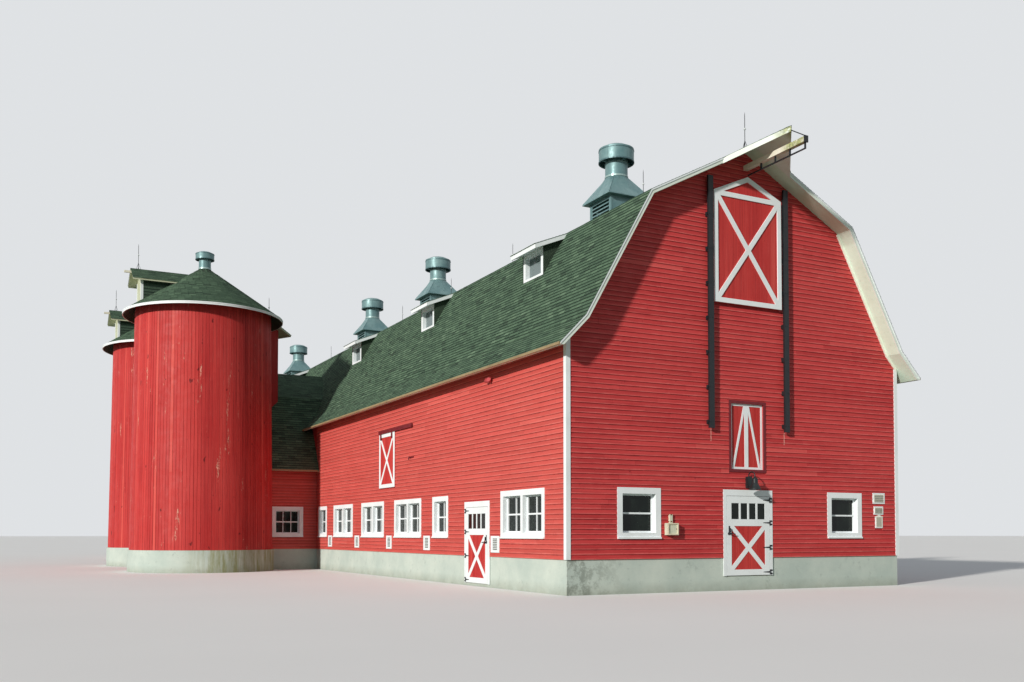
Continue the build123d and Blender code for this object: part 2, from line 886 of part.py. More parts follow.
def window_frame(width, height, units, columns, rows):
    """Frame of one window about its centre, with z outward from the wall's face."""
    half_w = width / 2
    half_h = height / 2
    clear_h = half_h - casing_width - window_liner
    with BuildPart() as frame:
        with BuildSketch(Plane.XY.offset(-window_depth)):
            opening = casing_width
            Rectangle(width - 2 * opening, height - 2 * opening)
            for start, end in unit_spans(width, units):
                rectangle(start, end, -clear_h, clear_h, Mode.SUBTRACT)
        extrude(amount=window_depth + casing_projection)
        with BuildSketch(Plane.XY):
            Rectangle(width, height)
            Rectangle(width - 2 * casing_width, height - 2 * casing_width, mode=Mode.SUBTRACT)
        extrude(amount=casing_projection)
        sill = (-half_h, -half_h + sill_depth)
        bar(Plane.XY, (-half_w, half_w), sill, (0, sill_projection))
        for start, end in unit_spans(width, units):
            sash(start, end, clear_h, columns, rows)
    return frame.part


def sash(start, end, clear_h, columns, rows):
    """Sash of one unit: its ring, its rails and its upright bars."""
    with BuildSketch(Plane.XY.offset(-sash_setback - sash_thickness)) as ring:
        rectangle(start, end, -clear_h, clear_h)
        inner = (start + sash_width, end - sash_width)
        rectangle(*inner, -clear_h + sash_width, clear_h - sash_width, Mode.SUBTRACT)
        for i in range(1, columns):
            x = start + (end - start) * i / columns
            rectangle(x - muntin_width / 2, x + muntin_width / 2, -clear_h, clear_h)
        for i in range(1, rows):
            y = -clear_h + 2 * clear_h * i / rows
            rectangle(start, end, y - sash_width / 2, y + sash_width / 2)
    extrude(ring.sketch, amount=sash_thickness)


def window_panes(width, height, units):
    """Glass of one window about its centre, seated on the back of its sashes."""
    clear_h = height / 2 - casing_width - window_liner
    back = -sash_setback - sash_thickness
    with BuildPart() as panes:
        for span in unit_spans(width, units):
            bar(Plane.XY, span, (-clear_h, clear_h), (back - glass_thickness, back))
    return panes.part


def windows_in(face, centres, width, units, columns):
    """Frames and panes of a row of like windows, at their places in a wall."""
    middle = window_sill + window_height / 2
    frame = window_frame(width, window_height, units, columns, sash_rows)
    panes = window_panes(width, window_height, units)
    spots = [face.location * Location((centre, middle, 0)) for centre in centres]
    return [frame.moved(spot) for spot in spots], [panes.moved(spot) for spot in spots]


side_window_rows = (
    (west_face, west_double_spots, double_window_width, double_units, side_columns),
    (west_face, west_single_spots, single_window_width, single_units, side_columns),
    (east_face, east_double_spots, double_window_width, double_units, side_columns),
    (east_face, east_single_spots, single_window_width, single_units, side_columns),
    (wing_near_face, [-wing_window_centre], wing_window_width, single_units, wing_columns),
    (wing_far_face, [wing_window_centre], wing_window_width, single_units, wing_columns),
)
front_spots = (-gable_window_offset, gable_window_offset)
rear_spots = (-gable_window_offset, 0, gable_window_offset)
gable_window_rows = (
    (front_face, front_spots, gable_window_width, single_units, gable_columns),
    (rear_face, rear_spots, gable_window_width, single_units, gable_columns),
)
window_glass = []
for name, rows in (("side_windows", side_window_rows), ("gable_windows", gable_window_rows)):
    frames = []
    for row in rows:
        row_frames, row_panes = windows_in(*row)
        frames += row_frames
        window_glass += row_panes
    with BuildPart() as windows:
        add(frames)
    keep(windows, name)


# Doors that open, each made about the middle of its opening on the wall's outer face
def door_frame(sill, head):
    """Casing, jambs and stops of a doorway."""
    outer = door_half + door_casing_width
    with BuildPart() as frame:
        with BuildSketch(Plane.XY):
            rectangle(-outer, outer, sill, head + door_head_casing)
            rectangle(-door_half, door_half, sill, head, Mode.SUBTRACT)
        extrude(amount=casing_projection)
        stop_face = casing_projection - leaf_thickness - leaf_trim_thickness - door_gap
        with BuildSketch(Plane.XY.offset(stop_face - door_stop_depth)):
            rectangle(-door_half, door_half, sill, head)
            inner = door_half - door_stop_width
            rectangle(-inner, inner, sill, head - door_stop_width, Mode.SUBTRACT)
        extrude(amount=door_stop_depth)
    return frame.part


def leaf_span(sill, head):
    """Left, right, bottom and top of a door leaf."""
    edge = door_half - door_gap
    return -edge, edge, sill + door_gap, head - door_gap


def light_band(sill, head):
    """Bottom and top of the row of small lights near the head of a leaf."""
    top = head - door_gap - top_rail_width
    return top - light_height, top


def door_leaf(sill, head):
    """Boarded core of a leaf, open behind its lights."""
    left, right, bottom, top = leaf_span(sill, head)
    low, high = light_band(sill, head)
    back = casing_projection - leaf_trim_thickness - leaf_thickness
    with BuildPart() as leaf:
        with BuildSketch(Plane.XY.offset(back)):
            rectangle(left, right, bottom, top)
            inner = (left + leaf_stile_width, right - leaf_stile_width)
            rectangle(*inner, low, high, Mode.SUBTRACT)
        extrude(amount=leaf_thickness)
    return leaf.part


def door_trim(sill, head):
    """Stiles, rails, bars between the lights and the crossed braces of a leaf."""
    left, right, bottom, top = leaf_span(sill, head)
    low, high = light_band(sill, head)
    inner = (left + leaf_stile_width, right - leaf_stile_width)
    panel = (bottom + bottom_rail_width, low - lock_rail_width)
    with BuildPart() as trim:
        with BuildSketch(Plane.XY.offset(casing_projection - leaf_trim_thickness)):
            rectangle(left, right, bottom, top)
            rectangle(*inner, *panel, Mode.SUBTRACT)
            rectangle(*inner, low, high, Mode.SUBTRACT)
            brace((inner[0], panel[0]), (inner[1], panel[1]), leaf_brace_width)
            brace((inner[0], panel[1]), (inner[1], panel[0]), leaf_brace_width)
            for i in range(1, light_columns):
                x = inner[0] + (inner[1] - inner[0]) * i / light_columns
                rectangle(x - light_bar_width / 2, x + light_bar_width / 2, low, high)
        extrude(amount=leaf_trim_thickness)
    return trim.part


def door_glass(sill, head):
    """Pane behind the lights of a leaf."""
    left, right, _, _ = leaf_span(sill, head)
    low, high = light_band(sill, head)
    inner = (left + leaf_stile_width, right - leaf_stile_width)
    front = casing_projection - leaf_trim_thickness
    with BuildPart() as pane:
        bar(Plane.XY, inner, (low, high), (front - glass_thickness, front))
    return pane.part


def hinge_heights(sill, head):
    """Middle heights of the four hinges of a leaf."""
    low = sill + door_gap + bottom_rail_width / 2
    high = head - door_gap - top_rail_width / 2
    middle = light_band(sill, head)[0] - lock_rail_width / 2
    return low, (low + middle) / 2, middle, high


def hinge_axis(hand):
    """Hinge axis of a leaf across the wall's face and out from it."""
    return hand * (door_half - door_gap / 2), casing_projection + knuckle_radius + seat_gap


def door_hinges(sill, head, hand):
    """Fixed half of the hinges: a pad on the casing, two knuckles and the pin."""
    x, z = hinge_axis(hand)
    with BuildPart() as hinges:
        for y in hinge_heights(sill, head):
            for shift in (-knuckle_length, knuckle_length):
                half = (knuckle_length - pin_clearance) / 2
                with BuildSketch(Plane.XZ.offset(-(y + shift - half))):
                    with Locations((x, z)):
                        Circle(knuckle_radius)
                extrude(amount=-2 * half)
                pad = sorted((x, hand * (door_half + door_casing_width * hinge_pad_share)))
                pad_z = (casing_projection, casing_projection + strap_thickness)
                bar(Plane.XY, pad, (y + shift - half, y + shift + half), pad_z)
            with BuildSketch(Plane.XZ.offset(-(y - knuckle_length))):
                with Locations((x, z)):
                    Circle(pin_radius)
            extrude(amount=-2 * knuckle_length)
    return hinges.part


def door_straps(sill, head, hand):
    """Moving half of the hinges, with the bored knuckle, and the latch."""
    x, z = hinge_axis(hand)
    with BuildPart() as straps:
        for y in hinge_heights(sill, head):
            half = (knuckle_length - pin_clearance) / 2
            end = x - hand * strap_length
            tip = strap_tip / 2
            with BuildSketch(Plane.XY.offset(casing_projection)):
                face_of([(x, y - half), (x, y + half), (end, y + tip), (end, y - tip)])
            extrude(amount=strap_thickness)
            with BuildSketch(Plane.XZ.offset(-(y - half))):
                with Locations((x, z)):
                    Circle(knuckle_radius)
            extrude(amount=-2 * half)
            with BuildSketch(Plane.XZ.offset(-(y - half))):
                with Locations((x, z)):
                    Circle(pin_radius + pin_clearance)
            extrude(amount=-2 * half, mode=Mode.SUBTRACT)
        latch_x = -hand * (door_half - door_gap - leaf_stile_width / 2)
        latch_y = light_band(sill, head)[0] - lock_rail_width - latch_height / 2
        plate_z = casing_projection + strap_thickness
        across = (latch_x - latch_width / 2, latch_x + latch_width / 2)
        up = (latch_y - latch_height / 2, latch_y + latch_height / 2)
        bar(Plane.XY, across, up, (casing_projection, plate_z))
        grip = (latch_y - latch_height / 4, latch_y + latch_height / 4)
        bar(Plane.XY, across, grip, (plate_z, casing_projection + latch_projection))
    return straps.part


def door_spot(face, centre):
    """Place of a door on a wall."""
    return face.location * Location((centre, 0, 0))


doors = {
    "front_door": (door_spot(front_face, 0), front_door_sill, front_door_head, 1),
    "side_door": (
        door_spot(west_face, side_door_centre),
        ground_floor_level,
        side_door_head,
        -1,
    ),
}
frames = []
hinges = []
for name, (spot, sill, head, hand) in doors.items():
    frames.append(door_frame(sill, head).moved(spot))
    hinges.append(door_hinges(sill, head, hand).moved(spot))
    leaf_pieces = {
        "leaf": door_leaf(sill, head),
        "trim": door_trim(sill, head),
        "glass": door_glass(sill, head),
        "straps": door_straps(sill, head, hand),
    }
    for kind, piece in leaf_pieces.items():
        with BuildPart() as node:
            add(piece.moved(spot))
        keep(node, f"{name}_{kind}")

with BuildPart() as door_frames:
    add(frames)
keep(door_frames, "door_frames")

with BuildPart() as door_hinge_pins:
    add(hinges)
keep(door_hinge_pins, "door_hinges")

# Upper doors, fixed shut: boards and their white trim
slide_outline = (*slide_middle, slide_door_sill, slide_door_sill + slide_door_height)
loft_outline = (-loft_half, loft_half, loft_door_sill, loft_door_sill + loft_door_height)
with BuildPart() as upper_doors:
    with BuildSketch(front_face):
        hay_door_face()
    extrude(amount=hay_door_thickness)
    with BuildSketch(front_face.offset(-loft_door_setback)):
        rectangle(*loft_outline)
    extrude(amount=-leaf_thickness)
    with BuildSketch(west_face):
        rectangle(*slide_outline)
    extrude(amount=leaf_thickness)
keep(upper_doors, "upper_doors")

with BuildPart() as upper_door_trim:
    with BuildSketch(front_face.offset(hay_door_thickness)):
        hay_door_face()
        hay_door_face(hay_trim_width, Mode.SUBTRACT)
        edge = hay_door_half_width - hay_trim_width
        low = hay_door_sill + hay_trim_width
        high = hay_door_shoulder - hay_trim_width
        rectangle(-edge, edge, high, hay_door_shoulder)
        brace((-edge, low), (edge, high), hay_trim_width)
        brace((-edge, high), (edge, low), hay_trim_width)
    extrude(amount=hay_trim_thickness)
    with BuildSketch(front_face.offset(-loft_door_setback)):
        rectangle(*loft_outline)
        for side in (-1, 1):
            leaf = sorted((side * loft_stile_width, side * (loft_half - loft_stile_width)))
            low = loft_outline[2] + loft_stile_width
            high = loft_outline[3] - loft_stile_width
            rectangle(*leaf, low, high, Mode.SUBTRACT)
            foot = side * loft_half * loft_brace_spread
            brace((foot, low), (side * loft_stile_width, high), loft_brace_width)
    extrude(amount=leaf_trim_thickness)
    with BuildSketch(west_face.offset(leaf_thickness)):
        rectangle(*slide_outline)
        xs = (slide_outline[0] + slide_trim_width, slide_outline[1] - slide_trim_width)
        ys = (slide_outline[2] + slide_trim_width, slide_outline[3] - slide_trim_width)
        rectangle(*xs, *ys, Mode.SUBTRACT)
        brace((xs[0], ys[0]), (xs[1], ys[1]), slide_brace_width)
        brace((xs[0], ys[1]), (xs[1], ys[0]), slide_brace_width)
    extrude(amount=leaf_trim_thickness)
keep(upper_door_trim, "upper_door_trim")

# Red casing of the loft doors and the track of the side hay door
with BuildPart() as upper_door_casings:
    with BuildSketch(front_face):
        rectangle(*loft_outline)
        offset(amount=loft_casing_width, kind=Kind.INTERSECTION)
        rectangle(*loft_outline, Mode.SUBTRACT)
    extrude(amount=casing_projection)
    ys = (slide_outline[3], slide_outline[3] + slide_track_height)
    track_start = slide_middle[0] - slide_track_end
    xs = (track_start, track_start + slide_track_reach)
    bar(west_face, xs, ys, (0, slide_track_depth))
keep(upper_door_casings, "upper_door_casings")

# Steel channels beside the hay door and the brackets that hold them off the wall
with BuildPart() as hay_door_tracks:
    first = hay_rail_bottom + hay_bracket_low
    pitch = (hay_rail_top - hay_bracket_high - first) / (hay_bracket_count - 1)
    for side in (-1, 1):
        middle = side * hay_rail_offset
        outer = (middle - hay_rail_width / 2, middle + hay_rail_width / 2)
        run = (hay_rail_bottom, hay_rail_top)
        front = (hay_rail_standoff, hay_rail_standoff + hay_rail_depth)
        bar(front_face, outer, run, front)
        groove = (outer[0] + hay_rail_wall, outer[1] - hay_rail_wall)
        bar(front_face, groove, run, (front[0], front[1] - hay_rail_wall), Mode.SUBTRACT)
        for i in range(hay_bracket_count):
            height = first + pitch * i
            ys = (height - hay_bracket_height / 2, height + hay_bracket_height / 2)
            bar(front_face, outer, ys, (0, front[0]))
keep(hay_door_tracks, "hay_door_tracks")


# Shed dormers, whose roofs spring from the knuckle over a window in the steep slope
def dormer_line(drop):
    """Height of the dormer roof above a distance from the ridge, less a drop."""
    return lambda x: knuckle_height - dormer_roof_slope * (x - knuckle_offset) - drop


dormer_top = dormer_line(0)
dormer_under = dormer_line(dormer_drop)
dormer_sill = knuckle_height + steep_slope * (dormer_face_offset - knuckle_offset)
dormer_head = dormer_under(dormer_face_offset)
back = (dormer_back, dormer_back_height)
dormer_roof_outline = [
    (dormer_eave_offset, dormer_top(dormer_eave_offset)),
    (knuckle_offset, knuckle_height),
    back,
    (dormer_eave_offset, dormer_under(dormer_eave_offset)),
]
cheek_outline = [(dormer_face_offset, dormer_sill), (dormer_face_offset, dormer_head), back]


def dormer_slices(outline, spans):
    """Prisms of one side outline over spans along the ridge, at every dormer of both slopes."""
    for side in (-1, 1):
        for spot in dormer_spots:
            for start, end in spans:
                with BuildSketch(Plane.XZ.offset(-spot - start)) as profile:
                    face_of([(side * x, z) for x, z in outline])
                extrude(profile.sketch, amount=start - end)


with BuildPart() as dormer_roofs:
    reach = dormer_half + dormer_side_overhang
    dormer_slices(dormer_roof_outline, [(-reach, reach)])
keep(dormer_roofs, "dormer_roofs")

with BuildPart() as dormer_cheeks:
    edge = dormer_half + dormer_cheek_thickness
    dormer_slices(cheek_outline, [(-edge, -dormer_half), (dormer_half, edge)])
keep(dormer_cheeks, "dormer_cheeks")

with BuildPart() as dormer_window:
    with BuildSketch(Plane.XY.offset(-dormer_frame_depth)):
        rectangle(-dormer_half, dormer_half, dormer_sill, dormer_head)
        edge = dormer_half - dormer_frame_width
        low = dormer_sill + dormer_sill_rail
        high = dormer_head - dormer_frame_width
        rectangle(-edge, edge, low, high, Mode.SUBTRACT)
    extrude(amount=dormer_frame_depth)
    with BuildSketch(Plane.XY.offset(-dormer_frame_depth)):
        rectangle(-edge, edge, low, high)
        clear = edge - sash_width
        rectangle(-clear, clear, low + sash_width, high - sash_width, Mode.SUBTRACT)
    extrude(amount=sash_thickness)

with BuildPart() as dormer_pane:
    front = -dormer_frame_depth + sash_thickness
    bar(Plane.XY, (-edge, edge), (low, high), (front, front + glass_thickness))

dormer_faces = [
    Plane(origin=(side * dormer_face_offset, spot, 0), x_dir=(0, side, 0), z_dir=(side, 0, 0))
    for side in (-1, 1)
    for spot in dormer_spots
]
with BuildPart() as dormer_windows:
    add([dormer_window.part.moved(face.location) for face in dormer_faces])
keep(dormer_windows, "dormer_windows")

with BuildPart() as all_glass:
    add(window_glass)
    add([dormer_pane.part.moved(face.location) for face in dormer_faces])
keep(all_glass, "window_glass")


def vent_cap(radius, base, top, neck):
    """Open-bottomed cap with a sloped top, held off the neck by four straps."""
    rim = top - (radius - neck) / 2
    with BuildSketch(Plane.XZ) as shell:
        face_of(
            [
                (0, top),
                (neck, top),
                (radius, rim),
                (radius, base),
                (radius - vent_sheet, base),
                (radius - vent_sheet, rim - vent_sheet),
                (neck, top - vent_sheet),
                (0, top - vent_sheet),
            ]
        )
    revolve(shell.sketch, axis=Axis.Z)
    for turn in range(4):
        strap = Plane(origin=(0, 0, 0), x_dir=(cos(radians(90 * turn)), sin(radians(90 * turn)), 0))
        width = (-vent_strap_width / 2, vent_strap_width / 2)
        bar(strap, (neck - vent_sheet / 2, radius - vent_sheet / 2), width, (base, base + vent_strap_height))


def tube(radius, low, high):
    """Upright sheet-metal tube in the part being built."""
    with BuildSketch(Plane.XY.offset(low)) as ring:
        Circle(radius)
        Circle(radius - vent_sheet, mode=Mode.SUBTRACT)
    extrude(ring.sketch, amount=high - low)


# Ridge vents: a louvred box astride the ridge, a square hood rising to a neck, and a cap
with BuildPart() as ridge_vent:
    box_base = height_at(main_line, vent_box_half)
    hollow = vent_box_half - vent_box_wall
    with BuildSketch(Plane.XY.offset(box_base)):
        Rectangle(2 * vent_box_half, 2 * vent_box_half)
        Rectangle(2 * hollow, 2 * hollow, mode=Mode.SUBTRACT)
    extrude(amount=vent_eave_height - box_base)
    slots = hollow - louvre_margin
    for i in range(louvre_count):
        high = vent_eave_height - louvre_margin - i * (louvre_height + louvre_bar)
        slot = (high - louvre_height, high)
        bar(Plane.XY, (-2 * hollow, 2 * hollow), (-slots, slots), slot, Mode.SUBTRACT)
    with BuildSketch(Plane.XY.offset(vent_eave_height)):
        Rectangle(2 * vent_eave_half, 2 * vent_eave_half)
    extrude(amount=vent_lip)
    with BuildSketch(Plane.XY.offset(vent_eave_height + vent_lip)):
        Rectangle(2 * vent_eave_half, 2 * vent_eave_half)
    with BuildSketch(Plane.XY.offset(vent_neck_base)):
        Circle(vent_neck_radius)
    loft()
    tube(vent_neck_radius, vent_neck_base, vent_neck_top)
    vent_cap(vent_cap_radius, vent_cap_base, vent_cap_top, vent_neck_radius)
    add(barn_core, mode=Mode.SUBTRACT)

# Silo vents: a plain neck standing on the cone, with the same cap
with BuildPart() as silo_vent:
    tube(silo_neck_radius, silo_cone(silo_neck_radius) - vent_lip, silo_neck_top)
    vent_cap(silo_cap_radius, silo_cap_base, silo_cap_top, silo_neck_radius)
    add(silo_roof_core, mode=Mode.SUBTRACT)

with BuildPart() as roof_vents:
    add([ridge_vent.part.moved(Location((0, share * half_length, 0))) for share in vent_places])
    add([silo_vent.part.moved(spot) for spot in silo_spots])
keep(roof_vents, "roof_vents")


# Silos: foundation with its floor, tapered wall, conical roof and eave ring
def under_cone(radius):
    """Height of the silo roof's underside at a radius."""
    return silo_cone(radius) - silo_roof_thickness * hypot(1, silo_roof_slope)


def chute_plane(side):
    """Plane on the ground at a silo's axis, with x out along its chute."""
    turn = radians(chute_angle)
    return Plane(origin=(silo_x, side * silo_y, 0), x_dir=(cos(turn), -side * sin(turn), 0))


def solid_chute(side):
    """Everything within one chute's walls outside its silo, for trimming what it rises through."""
    edge = chute_half_width + seat_gap
    heights = (wing_eave_height, silo_cone(silo_top_radius))
    with BuildPart() as chute:
        bar(chute_plane(side), (0, chute_radius + seat_gap), (-edge, edge), heights)
        trim_to_silos()
    return chute.part


chute_cores = [solid_chute(side) for side in (-1, 1)]


with BuildPart() as silo_base:
    inner = silo_foot_radius - foundation_thickness
    with BuildSketch(Plane.XZ):
        face_of(
            [
                (0, 0),
                (silo_base_radius, 0),
                (silo_base_radius, foundation_height),
                (inner, foundation_height),
                (inner, ground_floor_level),
                (0, ground_floor_level),
            ]
        )
    revolve(axis=Axis.Z)

with BuildPart() as silo_bases:
    add([silo_base.part.moved(spot) for spot in silo_spots])
keep(silo_bases, "silo_bases")

with BuildPart() as silo_shell:
    inner = silo_top_radius - silo_wall
    with BuildSketch(Plane.XZ):
        face_of(
            [
                (silo_foot_radius, foundation_height),
                (silo_top_radius, silo_eave_height),
                (silo_top_radius, under_cone(silo_top_radius)),
                (inner, under_cone(inner)),
                (silo_foot_radius - silo_wall, foundation_height),
            ]
        )
    revolve(axis=Axis.Z)

with BuildPart() as silo_walls:
    add([silo_shell.part.moved(spot) for spot in silo_spots])
keep(silo_walls, "silo_walls")

with BuildPart() as silo_cone_roof:
    top = silo_neck_radius - 2 * vent_sheet
    with BuildSketch(Plane.XZ):
        face_of(
            [
                (top, silo_cone(top)),
                (silo_eave_radius, silo_eave_height),
                (silo_eave_radius, under_cone(silo_eave_radius)),
                (top, under_cone(top)),
            ]
        )
    revolve(axis=Axis.Z)

with BuildPart() as silo_roofs:
    add([silo_cone_roof.part.moved(spot) for spot in silo_spots])
    add(chute_cores, mode=Mode.SUBTRACT)
keep(silo_roofs, "silo_roofs")

with BuildPart() as silo_ring:
    with BuildSketch(Plane.XY.offset(silo_eave_height - silo_fascia_depth)):
        Circle(silo_eave_radius + silo_fascia_thickness)
        Circle(silo_eave_radius, mode=Mode.SUBTRACT)
    extrude(amount=silo_fascia_depth)

with BuildPart() as silo_eave_rings:
    add([silo_ring.part.moved(spot) for spot in silo_spots])
    add(chute_cores, mode=Mode.SUBTRACT)
keep(silo_eave_rings, "silo_eave_rings")

# Silo dormers: two cheeks and a front under a gabled roof, standing on the cone
silo_gable_foot = silo_dormer_ridge - silo_dormer_eave * silo_dormer_slope
silo_gable = ((0, silo_dormer_ridge), (silo_dormer_eave, silo_gable_foot))
silo_gable_under = inset(silo_gable, silo_dormer_roof)
with BuildPart() as silo_dormer:
    with BuildSketch(Plane.YZ.offset(-silo_dormer_face)):
        face_of(gable_outline(silo_gable_under, silo_dormer_half, silo_eave_height))
    extrude(amount=silo_dormer_wall)
    for side in (-1, 1):
        with BuildSketch(Plane.YZ.offset(-silo_dormer_face)):
            inner = silo_dormer_half - silo_dormer_wall
            outer_top = height_at(silo_gable_under, silo_dormer_half)
            face_of(
                [
                    (side * silo_dormer_half, silo_eave_height),
                    (side * silo_dormer_half, outer_top),
                    (side * inner, height_at(silo_gable_under, inner)),
                    (side * inner, silo_eave_height),
                ]
            )
        extrude(amount=silo_dormer_face - silo_dormer_inner)
    add(silo_roof_core, mode=Mode.SUBTRACT)

with BuildPart() as silo_dormers:
    add([silo_dormer.part.moved(spot) for spot in silo_spots])
keep(silo_dormers, "silo_dormers")

with BuildPart() as silo_dormer_cover:
    with BuildSketch(Plane.YZ.offset(-silo_dormer_reach)):
        for side in (-1, 1):
            roof_profile(silo_gable, silo_gable_under, side)
    extrude(amount=silo_dormer_reach - silo_dormer_inner)
    add(silo_roof_core, mode=Mode.SUBTRACT)


# Chutes: a shaft with three walls against each silo, standing on the wing roof
def chute_line(radius, drop=0):
    """Height of the chute roof at a distance from the silo's axis, less a drop."""
    return chute_eave_height + chute_slope * (chute_eave_radius - radius) - drop


chute_drop = chute_roof_thickness * hypot(1, chute_slope)
with BuildPart() as silo_chutes:
    for side in (-1, 1):
        shaft = chute_plane(side)
        with BuildSketch(Plane(shaft.origin, x_dir=shaft.x_dir, z_dir=-shaft.y_dir)) as profile:
            face_of(
                [
                    (chute_inner_radius, wing_eave_height),
                    (chute_radius, wing_eave_height),
                    (chute_radius, chute_line(chute_radius, chute_drop)),
                    (chute_inner_radius, chute_line(chute_inner_radius, chute_drop)),
                ]
            )
        extrude(profile.sketch, amount=chute_half_width, both=True)
        hollow = (0, chute_radius - chute_wall)
        edge = chute_half_width - chute_wall
        heights = (0, silo_dormer_ridge)
        bar(shaft, hollow, (-edge, edge), heights, Mode.SUBTRACT)
    trim_to_silos()
    add(wing_core, mode=Mode.SUBTRACT)
keep(silo_chutes, "silo_chutes")

with BuildPart() as silo_hood_roofs:
    for side in (-1, 1):
        shaft = chute_plane(side)
        with BuildSketch(Plane(shaft.origin, x_dir=shaft.x_dir, z_dir=-shaft.y_dir)) as profile:
            ends = (chute_inner_radius, chute_eave_radius)
            top = [(r, chute_line(r)) for r in ends]
            bottom = [(r, chute_line(r, chute_drop)) for r in reversed(ends)]
            face_of(top + bottom)
        extrude(profile.sketch, amount=chute_half_width + chute_roof_overhang, both=True)
    trim_to_silos()
    add([silo_dormer_cover.part.moved(spot) for spot in silo_spots])
keep(silo_hood_roofs, "silo_hood_roofs")

with BuildPart() as silo_beams:
    for side in (-1, 1):
        half = silo_beam_size / 2
        middle = silo_gable_under[0][1] - silo_beam_size
        xs = (silo_x - silo_beam_reach, silo_x - silo_dormer_face)
        ys = (side * silo_y - half, side * silo_y + half)
        bar(Plane.XY, xs, ys, (middle - half, middle + half))
keep(silo_beams, "silo_beams")


# Lightning rods: a foot cut to the roof it stands on, a slim rod and a ball
def rod(x, y, z, height=rod_height):
    """One lightning rod standing at a point."""
    upright = (Align.CENTER, Align.CENTER, Align.MIN)
    with Locations((x, y, z - rod_foot_seat)):
        Cone(rod_foot_radius, rod_radius, rod_foot_height, align=upright)
    with Locations((x, y, z)):
        Cylinder(rod_radius, height, align=upright)
    with Locations((x, y, z + height - rod_ball_drop)):
        Sphere(rod_ball_radius)


with BuildPart() as lightning_rods:
    for share in rod_places:
        for side in (-1, 1) if share else (1,):
            rod(0, side * share * half_length, ridge_height)
    for side in (-1, 1):
        rod(silo_x - silo_dormer_face - rod_foot_radius, side * silo_y, silo_dormer_ridge)
        foot = chute_plane(side).from_local_coords((chute_rod_radius, 0, 0))
        rod(foot.X, foot.Y, chute_line(chute_rod_radius), chute_rod_height)
    add(solid_main_barn(rake_end), mode=Mode.SUBTRACT)
    add(silo_hood_roofs.part, mode=Mode.SUBTRACT)
keep(lightning_rods, "lightning_rods")

# Gooseneck lamp over the front door, on a wall box, and a twin flood light under the west eave
with BuildPart() as wall_lamps:
    lamp_half = lamp_box_width / 2
    box_top = lamp_box_base + lamp_box_height
    bar(front_face, (-lamp_half, lamp_half), (lamp_box_base, box_top), (0, lamp_box_depth))
    upright = Plane(front_face.origin, x_dir=(0, -1, 0), z_dir=(-1, 0, 0))
    arm_start = lamp_box_depth / 2
    arm_rise = (lamp_reach - arm_start) / 2
    lamp_top = lamp_base + lamp_height
    with BuildLine(upright) as arm:
        Line((arm_start, box_top - lamp_rim_height), (arm_start, box_top))
        ThreePointArc(
            (arm_start, box_top),
            (arm_start + arm_rise, box_top + arm_rise),
            (lamp_reach, box_top),
        )
        Line((lamp_reach, box_top), (lamp_reach, lamp_top - lamp_rim_height))
    with BuildSketch(Plane(arm.line @ 0, z_dir=arm.line % 0)) as section:
        Circle(lamp_arm_radius)
    sweep(section.sketch, path=arm.line)
    flare = lamp_base + lamp_flare_height
    neck = lamp_base + lamp_neck_height
    rim = lamp_base + lamp_rim_height
    inner_neck = lamp_neck_radius - lamp_sheet
    inner_rim = lamp_shade_radius - lamp_sheet
    shade_profile = [
        (0, lamp_top),
        (lamp_cap_radius, lamp_top),
        (lamp_neck_radius, neck),
        (lamp_neck_radius, flare),
        (lamp_shade_radius, rim),
        (lamp_shade_radius, lamp_base),
        (inner_rim, lamp_base),
        (inner_rim, rim),
        (inner_neck, flare),
        (inner_neck, neck - lamp_sheet),
        (0, neck - lamp_sheet),
    ]
    with BuildSketch(upright) as shade:
        face_of([(lamp_reach + r, z) for r, z in shade_profile])
    revolve(shade.sketch, axis=Axis((0, -half_length - lamp_reach, 0), (0, 0, 1)))
    flood_middle = half_length - flood_from_corner
    plate = flood_plate / 2
    across = (flood_middle - plate, flood_middle + plate)
    bar(west_face, across, (flood_height - plate, flood_height + plate), (0, flood_plate_thickness))
    for side in (-1, 1):
        turned = Location((flood_middle + side * flood_spread, flood_height, flood_reach))
        turned *= Rotation(-flood_tilt, side * flood_turn, 0)
        with Locations(west_face.location * turned):
            Cone(flood_back_radius, flood_front_radius, flood_length)
keep(wall_lamps, "wall_lamps")

# Meter box with its conduit, beside the front window
with BuildPart() as meter_box:
    xs = (meter_x - meter_width / 2, meter_x + meter_width / 2)
    bar(front_face, xs, (meter_base, meter_base + meter_height), (0, meter_depth))
    depth = (0, meter_depth / 2)
    pipe = (meter_x - conduit_radius, meter_x + conduit_radius)
    bar(front_face, pipe, (meter_base + meter_height, conduit_top), depth)
keep(meter_box, "meter_box")

